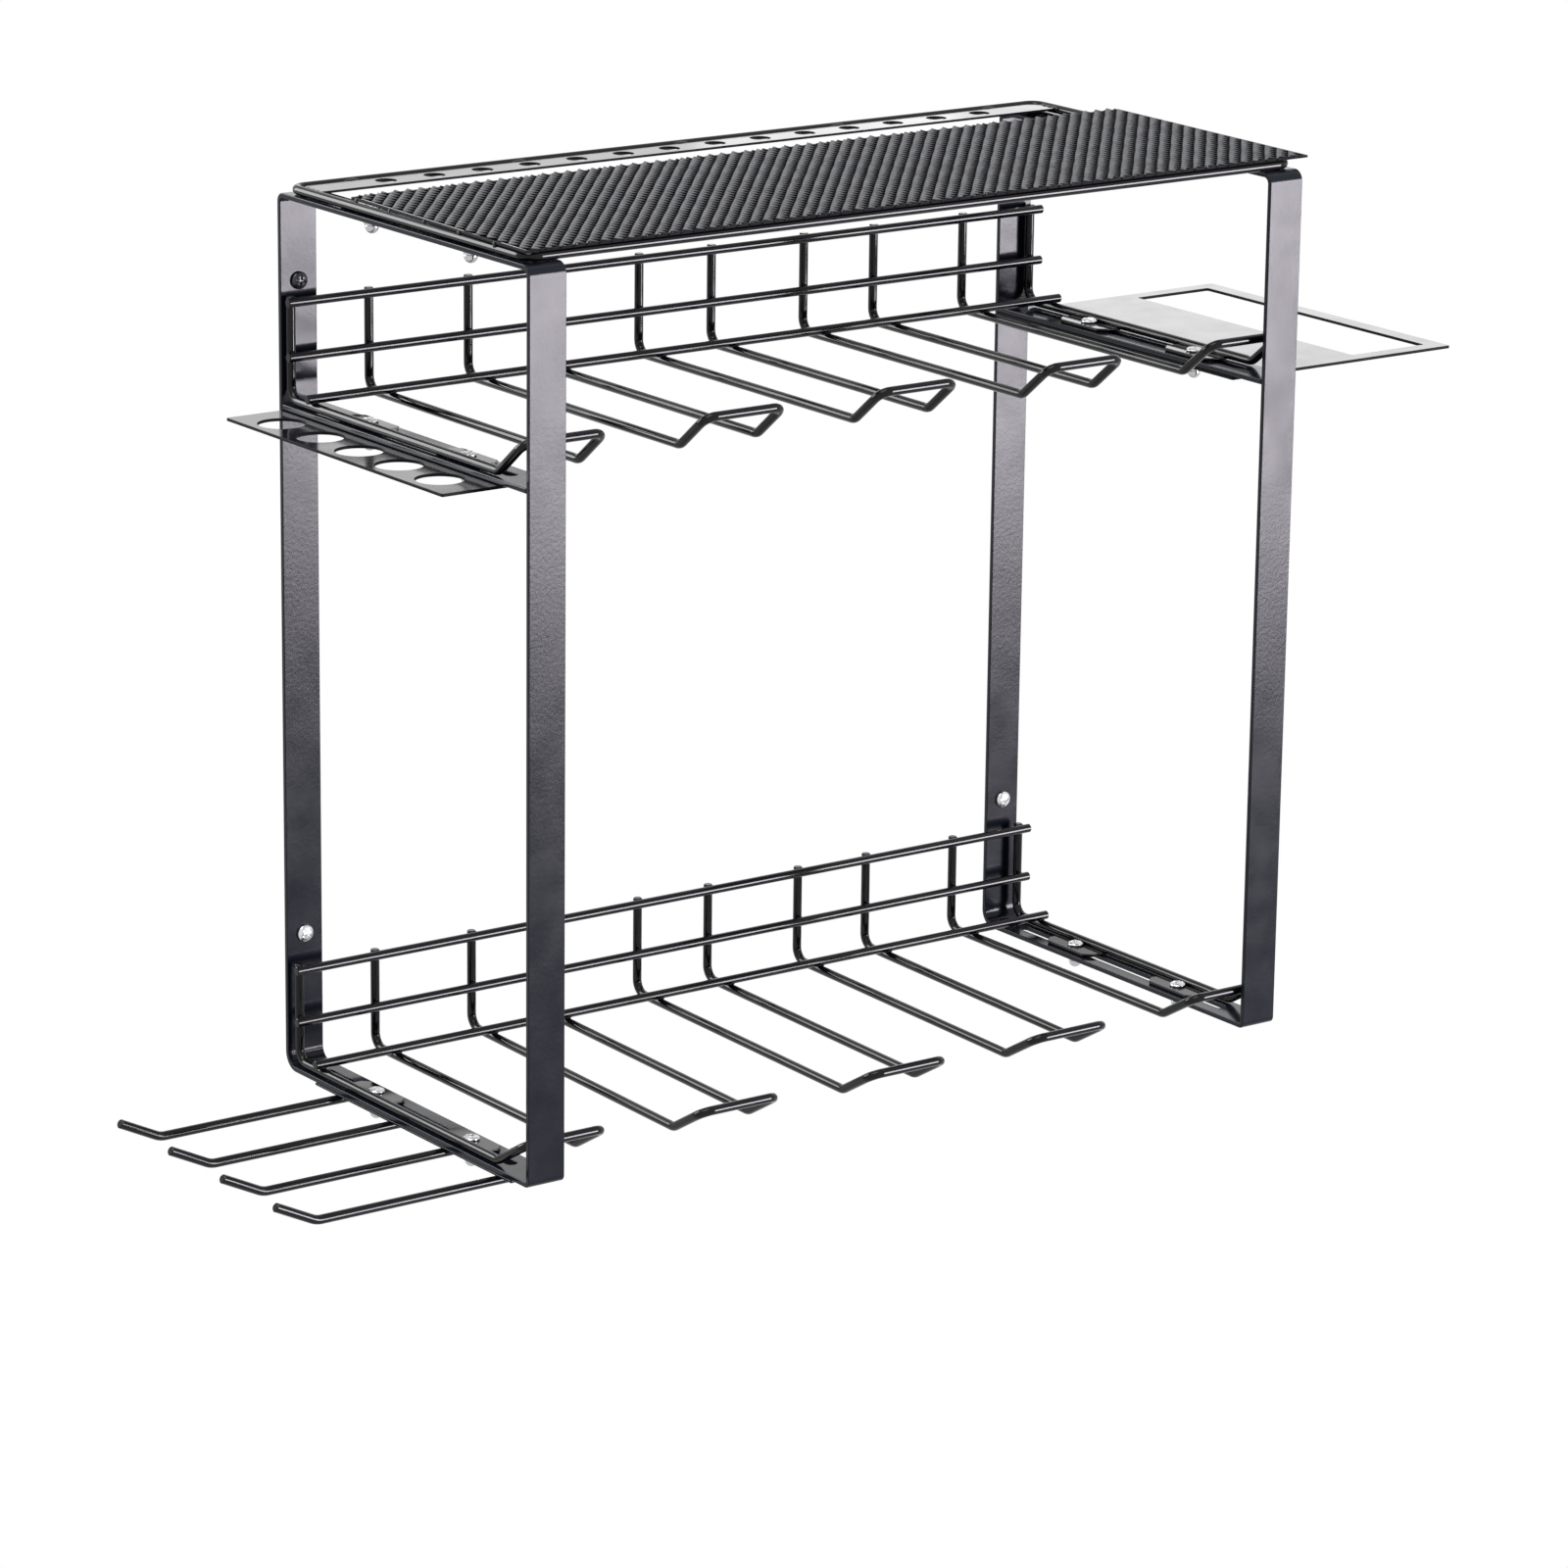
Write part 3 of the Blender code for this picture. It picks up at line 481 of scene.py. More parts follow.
def prism(loop, low, high):
    # a loop raised from one height to another, used to cut with
    rows = np.stack([np.column_stack([loop, np.full(len(loop), z)]) for z in (low, high)])
    return merged([(rows.reshape(-1, 3), gridQuads(2, len(loop), False, True), False, 0),
                   (None, endCaps(2, len(loop)), True, 0)], shared=True)


def cutMesh(mesh, cutters):
    blank = bpy.data.objects.new("blank", mesh)
    bpy.context.scene.collection.objects.link(blank)
    helpers = []
    for cutter in cutters:
        helper = bpy.data.objects.new("cutter", putMesh("cutter", cutter))
        bpy.context.scene.collection.objects.link(helper)
        modifier = blank.modifiers.new("cut", "BOOLEAN")
        modifier.object = helper
        modifier.solver = "EXACT"
        helpers.append(helper)
    graph = bpy.context.evaluated_depsgraph_get()
    finished = bpy.data.meshes.new_from_object(blank.evaluated_get(graph))
    for helper in [blank] + helpers:
        bpy.data.objects.remove(helper, do_unlink=True)
    return finished


def sideFrameMesh(side):
    # the outer line of the loop, and the same line moved in by the bar's thickness, swept across
    # the bar's width: four points to a row, one row to each point of the line
    depth, height, thick = rack["frameDepth"], rack["frameHeight"], rack["barThickness"]
    corners = [(0, 0, 0), (0, -depth, 0), (0, -depth, height), (0, 0, height)]
    line = bentPath(corners, sideFrame["bends"], step=sideFrame["bendStep"])
    steps = unit(np.roll(line, -1, axis=0) - line)
    along = unit(steps + np.roll(steps, 1, axis=0))
    outward = np.stack([np.zeros(len(line)), -along[:, 2], along[:, 1]], axis=1)
    inner = line - thick * outward
    x = sides[side] * rack["barCentre"]
    across = np.array([rack["barWidth"] / 2, 0, 0])
    rows = np.stack([line - across, line + across, inner + across, inner - across], axis=1)
    points = (rows + np.array([x, 0, 0])).reshape(-1, 3)
    shape = merged([(points, gridQuads(len(line), 4, True, True), False, 0)])
    mesh = putMesh(f"{side}SideFrame", shape)
    work = bmesh.new()
    work.from_mesh(mesh)
    bmesh.ops.recalc_face_normals(work, faces=work.faces[:])
    work.to_mesh(mesh)
    work.free()
    slot = barSlot(x)
    cutters = [prism(slot, -thick, 2 * thick), prism(slot, height - 2 * thick, height + thick)]
    for level in sideFrame["wallHoles"]:
        hole = circleLoop((x, level), sideFrame["wallHole"], rack["holeSides"])
        cutters.append(placed(prism(hole, -thick, 2 * thick), facingOut))
    return cutMesh(mesh, cutters)


def addSideFrame(side):
    mesh = sideFrameMesh(side)
    mesh.shade_smooth()
    piece = putPiece(f"{side}SideFrame", mesh, [f"{side}_side_frame"], "bar_coat", barCoat)
    rounding = piece.modifiers.new("rounded edges", "BEVEL")
    rounding.width = sideFrame["edge"]
    rounding.segments = sideFrame["edgeRings"]
    rounding.limit_method = "ANGLE"
    rounding.angle_limit = math.radians(sideFrame["edgeAngle"])
    rounding.use_clamp_overlap = False
    piece.modifiers.new("even shading", "WEIGHTED_NORMAL")


def addMidStrip(side):
    x, half = sides[side] * rack["barCentre"], rack["barWidth"] / 2
    top, edge = rack["midStripTop"], sideFrame["edge"]
    corners = boxCorners((x - half, postClear - rack["frameDepth"]), (x + half, -postClear))
    strip = plate(cornerLoop(corners, edge), [barSlot(x)], top - rack["barThickness"], top, edge)
    putShape(f"{side}MidStrip", strip, [f"{side}_mid_strip"], "bar_coat", barCoat)


for side in sides:
    addSideFrame(side)
    addMidStrip(side)
print("stage: side frames")


# clamping tabs, shared by the racks and the shelf

tab = {
    "thickness": 0.0015,
    "length": 0.037,
    "innerReach": 0.208,
    "wireShare": 0.4,        # of the wire's radius, from the wire's middle to the plate's end
    "chamfer": 0.004,
    "corner": 0.0005,
    "hole": 0.0046,
    "edge": 0.0003,
    # how far each level stands from the wall, and from there to the middle of each tab
    "setbacks": {"lower": 0.0080, "upper": 0.0061, "shelf": 0.009},
    "places": {"rear": 0.059, "front": 0.143},
}


def screwPlaces(level):
    # Y of the rear and the front screw
    return {place: -(tab["setbacks"][level] + ahead) for place, ahead in tab["places"].items()}


def screwHoles(side, level):
    x = sides[side] * rack["barCentre"]
    return [circleLoop((x, y), tab["hole"], rack["holeSides"]) for y in screwPlaces(level).values()]


def tabShapes(level, side, wireX):
    # two plates from inside the wire to the far side of the slot, their inner corners cut off
    sign, shapes = sides[side], []
    low = stripTops[level] + rack["gap"]
    outer, inner = wireX - tab["wireShare"] * wireRadius, tab["innerReach"]
    half, cut = tab["length"] / 2, tab["chamfer"]
    for y, hole in zip(screwPlaces(level).values(), screwHoles(side, level)):
        corners = [(outer, y - half), (inner + cut, y - half), (inner, y - half + cut),
                   (inner, y + half - cut), (inner + cut, y + half), (outer, y + half)]
        corners = [(sign * px, py) for px, py in corners]
        outline = cornerLoop(corners[::-1] if sign > 0 else corners, tab["corner"])
        shapes.append(plate(outline, [hole], low, low + tab["thickness"], tab["edge"]))
    return shapes


# wire racks

rackWires = {
    "railLength": 0.452,
    "pitch": 0.100,
    "prongs": 5,
    "span": 0.0435,
    "footBend": 0.007,
    "frontBend": 0.0072,
    "tipBend": 0.0058,
    "lowRailAhead": 0.0205,
    "midRise": 0.0212,
    "topRise": 0.0476,
    "uprightRise": 0.0498,
    "upper": {"reach": 0.1795, "tipRun": 0.0205, "tipRise": 0.0165, "sag": 0.0},
    "lower": {"reach": 0.1765, "tipRun": 0.0238, "tipRise": 0.0139, "sag": 0.0028},
}
weldBead = {
    "standing": (0.0024, 0.0011, 0.0024),
    "lying": (0.0024, 0.0024, 0.0011),
    "around": 12,
    "along": 7,
    "reach": 0.47,           # of pi, the angle v at which a bead is cut flat
}


def beads(centres, radii):
    # bead(c, u, v) = centre + radii * (cos v cos u, cos v sin u, sin v), all beads at once
    u, limit = fullTurn(weldBead["around"]), weldBead["reach"] * math.pi
    v = np.linspace(-limit, limit, weldBead["along"])[:, None]
    ball = np.stack([np.cos(v) * np.cos(u), np.cos(v) * np.sin(u),
                     np.broadcast_to(np.sin(v), (len(v), len(u)))], axis=2).reshape(-1, 3)
    centres, radii = np.array(centres), np.broadcast_to(radii, (len(centres), 3))
    points = centres[:, None] + radii[:, None] * ball[None]
    cells = [*gridQuads(len(v), len(u), False, True), *np.array(endCaps(len(v), len(u)))]
    faces = [(cell + len(ball) * i).tolist() for i in range(len(centres)) for cell in cells]
    return points.reshape(-1, 3), faces, [False] * len(faces), [0] * len(faces)


def buildRack(level):
    own, bite, last = rackWires[level], rack["bite"], rackWires["prongs"] - 1
    plane, leg = -tab["setbacks"][level], stripTops[level] + rack["gap"] + wireRadius
    ahead = plane - rack["wire"] + bite
    rails = {
        "Top": (ahead, leg + rackWires["topRise"]),
        "Middle": (ahead, leg + rackWires["midRise"]),
        "Low": (plane - rackWires["lowRailAhead"], leg + rack["wire"] - bite),
    }
    half, end = rackWires["span"] / 2, rackWires["railLength"] / 2
    centres = (np.arange(last + 1) - last / 2) * rackWires["pitch"]
    uprights = np.concatenate([centres - half, centres + half])
    spots, sizes = [], []
    for name, (y, z) in rails.items():
        rail = tube(np.array([(-end, y, z), (end, y, z)]), wireRadius)
        node = f"{level}_{name.lower()}_rail"
        putShape(f"{level}{name}Rail", rail, [node], "wire_coat", wireCoat)
        lying = name == "Low"
        place = (y, leg + wireRadius) if lying else (plane - wireRadius, z)
        spots += [(x, *place) for x in uprights]
        sizes += [weldBead["lying" if lying else "standing"]] * len(uprights)
    bends = [0, rackWires["footBend"], rackWires["frontBend"], rackWires["tipBend"]]
    for i, centre in enumerate(centres):
        atEnd = i in (0, last)
        x, bend = centre - half, plane - own["reach"]
        foot = leg - (0 if atEnd else own["sag"])
        near = [(x, plane, leg + rackWires["uprightRise"]), (x, plane, leg), (x, bend, foot),
                (x, bend - own["tipRun"], foot + own["tipRise"])]
        far = [(2 * centre - px, y, z) for px, y, z in reversed(near)]
        shapes = [tube(bentPath(near + far, bends + bends[::-1]), wireRadius)]
        if atEnd:
            shapes += tabShapes(level, "left" if i == 0 else "right", abs(centre) + half)
        node = f"{level}_prong_{i + 1}"
        putShape(f"{level}Prong{i + 1}", merged(shapes), [node], "wire_coat", wireCoat)
    putShape(f"{level}Welds", beads(spots, np.array(sizes)), [], "wire_coat", wireCoat)


for level in ("upper", "lower"):
    buildRack(level)
print("stage: wire racks")


# shelf: rim, strip with holes, expanded sheet

shelf = {
    "rimSpan": 0.4436,
    "rimSetback": 0.008,
    "rimDepth": 0.2005,
    "rimBend": 0.007,
    "stripWidth": 0.0185,
    "stripThickness": 0.0012,
    "stripCorner": 0.0004,
    "hole": 0.010,
    "holeSides": 32,
    "pitch": 0.0272,
    "holes": 14,
    "seamInset": 0.0002,     # short welds join the strip's ends and back to the rim
    "seamRise": 0.0008,
    "endSeams": {"count": 3, "first": 0.0015, "pitch": 0.0042, "radii": (0.0012, 0.0028, 0.0011)},
    "backSeams": {"count": 5, "reach": 0.19, "radii": (0.0045, 0.0012, 0.0011)},
}
sheet = {
    "left": -0.2236,         # at its front corners
    "right": 0.2316,
    "skew": 0.028,           # how far it runs to the right for each metre towards the wall
    "back": -0.0580,
    "front": -0.2105,
    "middle": 0.44062,
    "pitchX": 0.0069,        # from one opening to the next along the wall
    "pitchY": 0.0092,        # and away from the wall
    "drift": -13.7,          # how far each strand's wave runs ahead of its neighbour's, in degrees
    "crest": 1.45,           # height of the sine before it is clipped to 1
    "strand": 0.0013,        # width of a strand's broad face
    "thickness": 0.0007,
    "tilt": 45.0,            # how far the broad faces lean, in degrees
    "stepsPerPitch": 9,
    "edgeWidth": 0.0015,
    "edgeOut": 0.0007,       # how far the edge reaches past the strands on the left
    "edgeLow": 0.43948,
    "edgeHigh": 0.44070,
    "edgeRounding": 0.0002,
    "edgeRings": 2,
    "tacks": (-0.063, -0.093, -0.1235, -0.154, -0.1845),    # short welds to the rim's left side
    "tackRadii": (0.0009, 0.0009, 0.0018),
    "tackMiddle": 0.4393,
}


def shelfRim():
    half, back = shelf["rimSpan"] / 2, -shelf["rimSetback"]
    front = back - shelf["rimDepth"]
    corners = [(-half, back, rimLevel), (half, back, rimLevel),
               (half, front, rimLevel), (-half, front, rimLevel)]
    path = bentPath(corners, [shelf["rimBend"]] * len(corners))
    shapes = [tube(path, wireRadius, closed=True)]
    for side in sides:
        shapes += tabShapes("shelf", side, half)
    putShape("shelfRim", merged(shapes), ["shelf_rim"], "wire_coat", wireCoat)


def holeStrip():
    half = shelf["rimSpan"] / 2 - wireRadius
    back = -(shelf["rimSetback"] + wireRadius)
    corner = shelf["rimBend"] - wireRadius
    front = back - shelf["stripWidth"]
    middle = back - rack["gap"] - shelf["stripWidth"] / 2
    corners = [(-half, front), (half, front), (half, back - corner), (half - corner, back),
               (corner - half, back), (-half, back - corner)]
    places = [shelf["pitch"] * (i - (shelf["holes"] - 1) / 2) for i in range(shelf["holes"])]
    holes = [circleLoop((x, middle), shelf["hole"], shelf["holeSides"]) for x in places]
    outline = cornerLoop(corners, shelf["stripCorner"])
    strip = plate(outline, holes, rimLevel, rimLevel + shelf["stripThickness"], wall=1)
    inset, level = shelf["seamInset"], rimLevel + shelf["seamRise"]
    ends, rear = shelf["endSeams"], shelf["backSeams"]
    seams = [(sign * (half - inset), front + ends["first"] + ends["pitch"] * k, level)
             for sign in (-1, 1) for k in range(ends["count"])]
    rearPlaces = np.linspace(-rear["reach"], rear["reach"], rear["count"])
    seams += [(x, back + inset, level) for x in rearPlaces]
    radii = [ends["radii"]] * (2 * ends["count"]) + [rear["radii"]] * rear["count"]
    shape = merged([strip, beads(seams, np.array(radii))])
    # the strip's walls take the painted shade coat, which darkens its edges
    putShape("shelfHoleStrip", shape, ["shelf_hole_strip"], "sheet_coat", sheetCoat, paintedShadeCoat)


def askew(y):
    # how far to the right of its front end each line of the sheet is at y
    return sheet["skew"] * (y - sheet["front"])


def zigzag(k, y):
    # strand k swings by +-room between its neighbours: x = middle(k) + side * room * wave, and it
    # is the lower one where it joins the next strand and the upper one where it joins the last;
    # wave is a clipped sine of y, so that the joints have some length, and it is taken a second
    # time at the place that the strand swings to, so that both strands of a joint agree
    lean = math.radians(sheet["tilt"])
    spacing, half = sheet["pitchX"] / 2, sheet["strand"] / 2
    room = spacing / 2 - half * math.cos(lean)
    side = np.where(k % 2 == 0, 1.0, -1.0)
    turn = 2 * math.pi * (sheet["back"] - y) / sheet["pitchY"]
    drift, crest = math.radians(sheet["drift"]), sheet["crest"]
    wave = np.clip(crest * np.sin(turn + drift * k), -1, 1)
    wave = np.clip(crest * np.sin(turn + drift * (k + 0.5 * side * wave)), -1, 1)
    x = sheet["left"] + askew(y) + spacing * (k + 1) + side * wave * room
    z = sheet["middle"] - side * wave * half * math.sin(lean)
    return np.stack([x, y, z], axis=2)


def flatBars(centres):
    # every row of centres becomes a bar whose section is a flat rectangle leaning about Y
    lean = math.radians(sheet["tilt"])
    broad = np.array([math.cos(lean), 0, math.sin(lean)]) * sheet["strand"] / 2
    thin = np.array([-math.sin(lean), 0, math.cos(lean)]) * sheet["thickness"] / 2
    section = np.stack([-broad - thin, broad - thin, broad + thin, -broad + thin])
    points = centres[:, :, None] + section
    bars, rows = centres.shape[:2]
    each = rows * 4
    quads = gridQuads(rows, 4, False, True)[:, ::-1]
    ends = np.array([[3, 2, 1, 0], [each - 4, each - 3, each - 2, each - 1]])[:, ::-1]
    offsets = (np.arange(bars) * each)[:, None, None]
    faces = np.vstack([(quads + offsets).reshape(-1, 4), (ends + offsets).reshape(-1, 4)])
    # only the broad upper faces take the light coat; the cut sides and the undersides take the
    # dull, near black painted shade coat, which stands in for their shade
    paintedShadeFaces = np.tile(np.arange(4) != 2, (rows - 1) * bars)
    return points.reshape(-1, 3), faces, np.concatenate([paintedShadeFaces, np.ones(2 * bars, bool)])


def expandedSheet():
    spacing = sheet["pitchX"] / 2
    count = int(round((sheet["right"] - sheet["left"]) / spacing)) - 1
    rows = int((sheet["back"] - sheet["front"]) / sheet["pitchY"] * sheet["stepsPerPitch"])
    y = np.linspace(sheet["back"], sheet["front"], rows + 1)
    points, faces, paintedShadeFaces = flatBars(zigzag(*np.meshgrid(np.arange(float(count)), y, indexing="ij")))
    mesh = bpy.data.meshes.new("shelfMesh")
    mesh.vertices.add(len(points))
    mesh.vertices.foreach_set("co", points.ravel())
    mesh.loops.add(faces.size)
    mesh.loops.foreach_set("vertex_index", faces.ravel())
    mesh.polygons.add(len(faces))
    mesh.polygons.foreach_set("loop_start", np.arange(len(faces)) * 4)
    mesh.update(calc_edges=True)
    mesh.polygons.foreach_set("material_index", paintedShadeFaces.astype(int))
    mesh.validate()
    mesh.shade_flat()
    putPiece("shelfMesh", mesh, ["shelf_mesh"], "mesh_coat", meshCoat, paintedShadeCoat)
    print("sheet:", count, "strands,", 2 * len(faces), "triangles")


def sheetEdge():
    # the edge that runs round the sheet below its light strands, black with the painted shade coat,
    # which stands in for the shade along the border, and its short welds
    width, left, right = sheet["edgeWidth"], sheet["left"] - sheet["edgeOut"], sheet["right"]
    front, back = sheet["front"], sheet["back"]
    outer = np.array(boxCorners((left, front), (right, back)))
    inner = np.array(boxCorners((left + width, front + width), (right - width, back - width)))
    for loop in (outer, inner):
        loop[:, 0] += askew(loop[:, 1])
    shape = plate(outer, [inner], sheet["edgeLow"], sheet["edgeHigh"],
                  sheet["edgeRounding"], sheet["edgeRings"])
    putShape("shelfMeshEdge", shape, ["shelf_mesh"], "mesh_coat", paintedShadeCoat)
    places = [(left + askew(y), y, sheet["tackMiddle"]) for y in sheet["tacks"]]
    shape = beads(places, sheet["tackRadii"])
    putShape("shelfMeshTacks", shape, ["shelf_mesh"], "mesh_coat", sheetCoat)


shelfRim()
holeStrip()
expandedSheet()
sheetEdge()
print("stage: shelf")


# plates and hooks

holePlate = {
    "reach": 0.031,          # beyond the side frame
    "front": -0.191,
    "thickness": 0.0015,
    "corner": 0.0010,
    "holes": 5,
    "hole": 0.0228,
    "holeSides": 56,
    "first": 0.0278,
    "pitch": 0.0343,
    "edge": 0.0155,          # from the outer edge to the holes' middle line
}
toolPlate = {
    "reach": 0.122,
    "front": -0.191,
    "thickness": 0.0015,
    "corner": 0.0010,
    "cutout": 0.047,
    "cutoutCorner": 0.0008,
    "sideEdge": 0.010,
    "endEdge": 0.009,
}
hookBar = {
    "back": -0.027,
    "front": -0.200,
    "thickness": 0.0012,
    "corner": 0.0006,
    "hooks": 4,
    "first": 0.046,
    "pitch": 0.047,
    "reach": 0.098,
    "innerEdge": 0.002,
    "bend": 0.012,
    "bendStep": 4,
    "tipRun": 0.022,
    "tipAngle": 26.0,
    "wireSides": 20,
    "outerWeld": 0.0035,     # from the base's outer edge
    "innerWeld": 0.0060,     # from its inner edge
    "weldRadii": (0.0034, 0.0026, 0.0011),
}


def underStrip(level, thickness):
    return stripTops[level] - rack["barThickness"] - rack["gap"] - thickness


def sidePlate(side, name, node, own, corners, openings):
    low, thickness = underStrip("upper", own["thickness"]), own["thickness"]
    outline = cornerLoop(corners, own["corner"])
    shape = plate(outline, openings + screwHoles(side, "upper"), low, low + thickness, wall=1)
    # the plate's walls take the painted shade coat, which darkens its edges
    putShape(name, shape, [node], "sheet_coat", sheetCoat, paintedShadeCoat)


def sidePlates():
    own, outer = holePlate, -(frameFace + holePlate["reach"])
    corners = boxCorners((outer, own["front"]), (-innerFace, -postClear))
    places = [(outer + own["edge"], -own["first"] - own["pitch"] * i) for i in range(own["holes"])]
    holes = [circleLoop(place, own["hole"], own["holeSides"]) for place in places]
    sidePlate("left", "holePlate", "hole_plate", own, corners, holes)

    own, outer = toolPlate, frameFace + toolPlate["reach"]
    corners = boxCorners((innerFace, own["front"]), (outer, -postClear))
    far, end = outer - own["sideEdge"], own["endEdge"]
    cutout = boxCorners((far - own["cutout"], own["front"] + end), (far, -postClear - end))
    opening = cornerLoop(cutout, own["cutoutCorner"])
    sidePlate("right", "toolPlate", "tool_plate", own, corners, [opening])


def hooks():
    own = hookBar
    corners = boxCorners((-frameFace, own["front"]), (-innerFace, own["back"]))
    low = underStrip("lower", own["thickness"])
    outline = cornerLoop(corners, own["corner"])
    base = plate(outline, screwHoles("left", "lower"), low, low + own["thickness"])
    putShape("hookBase", base, ["hook_base"], "bar_coat", barCoat)
    level, bend = low - wireRadius, -(frameFace + own["reach"])
    rise = own["tipRun"] * math.tan(math.radians(own["tipAngle"]))
    for i in range(own["hooks"]):
        y = -(own["first"] + own["pitch"] * i)
        corners = [(-innerFace - own["innerEdge"], y, level), (bend, y, level),
                   (bend - own["tipRun"], y, level + rise)]
        path = bentPath(corners, [0, own["bend"], 0], step=own["bendStep"])
        welds = [(-frameFace + own["outerWeld"], y, low), (-innerFace - own["innerWeld"], y, low)]
        shape = merged([tube(path, wireRadius, own["wireSides"]), beads(welds, own["weldRadii"])])
        putShape(f"hook{i + 1}", shape, [f"hook_{i + 1}"], "wire_coat", wireCoat)


sidePlates()
hooks()
print("stage: plates and hooks")


# screws and cap nuts

screw = {
    "shank": 0.0040,
    "head": 0.0084,
    "headHeight": 0.0023,
    "point": 0.0,
    "shoulder": 0.3,         # share of the head's height that lies below its dome
    "crown": 0.02,           # where the dome's first ring is, as a share of its quarter turn
    "rings": 18,
    "rim": (0.985, 0.94),    # shares of the head's radius
    "rimHeight": 0.0004,
    "tip": 0.0003,
    "sides": 48,
    "armLength": 0.0023,     # of the cross
    "armHalf": 0.00045,
    "depth": 0.0011,
    "soft": 0.00022,
}
wallScrew = {
    "shank": 0.0040,
    "head": 0.0086,
    "headHeight": 0.0026,
    "length": 0.0142,
    "point": 0.004,
}
capNut = {
    "flats": 0.0070,
    "hexHeight": 0.0032,
    "height": 0.0075,
    "bore": 0.0046,
    "boreDepth": 0.0055,
    "tip": 0.0003,
    "engagement": 0.0048,
    # rows as (share of half the width, height); the hexagon is cut off at its share
    "lowEdge": ((0.95, 0.0), (1.05, 0.0003), (2.0, 0.0005)),
    "highEdge": ((2.0, -0.0005), (1.05, -0.0001), (0.98, 0.0)),
    "neck": ((0.97, 0.0002), (1.0, 0.0004)),        # share of the dome's radius
    "domeShare": 0.92,
    "domeRows": 9,
    "domeEnd": 0.49,         # of a half turn
    "sides": 48,
}
screwTurns = {"seed": 7, "draws": 40}


def crossDepth(points):
    # how far the cross goes down at each place: two crossed bars with soft edges
    x, y = points[..., 0], points[..., 1]
    soft = screw["soft"]

    def bar(u, v):
        inside = np.clip((screw["armHalf"] + soft - np.abs(v)) / soft, 0, 1)
        return inside * np.clip((screw["armLength"] + soft - np.abs(u)) / soft, 0, 1)

    onHead = points[..., 2] > 0
    return -screw["depth"] * np.maximum(bar(x, y), bar(y, x)) * onHead


def screwShape(own, length):
    # a low dome, height = shoulder + (top - shoulder) * sqrt(1 - (r / R)^2), then the rim, the
    # shank and its end, which is flat or a point
    radius, shank, top = own["head"] / 2, own["shank"] / 2, own["headHeight"]
    r = radius * np.sin(np.linspace(screw["crown"], 1, screw["rings"]) * math.pi / 2)
    shoulder = top * screw["shoulder"]
    dome = shoulder + (top - shoulder) * np.sqrt(np.clip(1 - (r / radius) ** 2, 0, 1))
    rim = [radius * share for share in screw["rim"]]
    radii = [*r, *rim, shank, shank, screw["tip"] if own["point"] else shank]
    heights = [*dome, screw["rimHeight"], 0, 0, own["point"] - length, -length]
    return turned(radii[::-1], heights[::-1], screw["sides"], crossDepth)


def capNutShape():
    # rows from the bottom of the bore out to the hexagon, up its sides, over its top edge and
    # round the dome, where radius = R cos t and height = middle + R sin t
    half, top = capNut["flats"] / 2, capNut["hexHeight"]
    bore, depth, dome = capNut["bore"] / 2, capNut["boreDepth"], half * capNut["domeShare"]

    def hexagon(share):
        turn = math.pi / 6
        return lambda a: np.minimum(half / np.cos((a + turn) % (2 * turn) - turn), half * share)

    rows = [(capNut["tip"], depth), (bore, depth), (bore, 0)]
    rows += [(hexagon(share), rise) for share, rise in capNut["lowEdge"]]
    rows += [(hexagon(share), top + rise) for share, rise in capNut["highEdge"]]
    rows += [(dome * share, top + rise) for share, rise in capNut["neck"]]
    angles = np.linspace(0, capNut["domeEnd"], capNut["domeRows"]) * math.pi
    rows += [(dome * math.cos(t), capNut["height"] - dome + dome * math.sin(t)) for t in angles]
    return turned(*zip(*rows), capNut["sides"])


def spin(angle):
    c, s = math.cos(angle), math.sin(angle)
    return np.array(((c, -s, 0), (s, c, 0), (0, 0, 1)))


def fasteners():
    plates = {"left upper": holePlate, "right upper": toolPlate, "left lower": hookBar}
    nut, gap = capNutShape(), rack["gap"]
    angles = np.random.default_rng(screwTurns["seed"]).uniform(0, math.pi, screwTurns["draws"])
    count = 0
    for level, top in stripTops.items():
        for side, sign in sides.items():
            under = plates.get(f"{side} {level}")
            nutFace = top - rack["barThickness"] - gap - (under["thickness"] + gap if under else 0)
            seat = top + tab["thickness"] + 2 * gap
            length = seat - nutFace + capNut["engagement"]
            x = sign * rack["barCentre"]
            for place, y in screwPlaces(level).items():
                name, node = f"{level}{side.title()}{place.title()}", f"{level}_{side}_{place}"
                shape = placed(screwShape(screw, length), spin(angles[count]), (x, y, seat - gap))
                putShape(f"{name}Screw", shape, [f"{node}_screw"], "zinc", zinc)
                turn = upsideDown @ spin(angles[-1 - count])
                shape = placed(nut, turn, (x, y, nutFace + gap))
                putShape(f"{name}CapNut", shape, [f"{node}_cap_nut"], "nickel", nickel)
                count += 1
    for side, sign in sides.items():
        for level, height in zip(("low", "high"), sideFrame["wallHoles"]):
            spot = (sign * rack["barCentre"], -rack["barThickness"], height)
            turn = facingOut @ spin(angles[count])
            shape = placed(screwShape(wallScrew, wallScrew["length"]), turn, spot)
            dark = (side, level) == ("left", "high")
            slotName, metal = ("black_steel", blackSteel) if dark else ("zinc", zinc)
            name, node = f"{side}{level.title()}WallScrew", f"{side}_{level}_wall_screw"
            putShape(name, shape, [node], slotName, metal)
            count += 1


fasteners()
print("stage: screws and nuts")


# floor, light and background

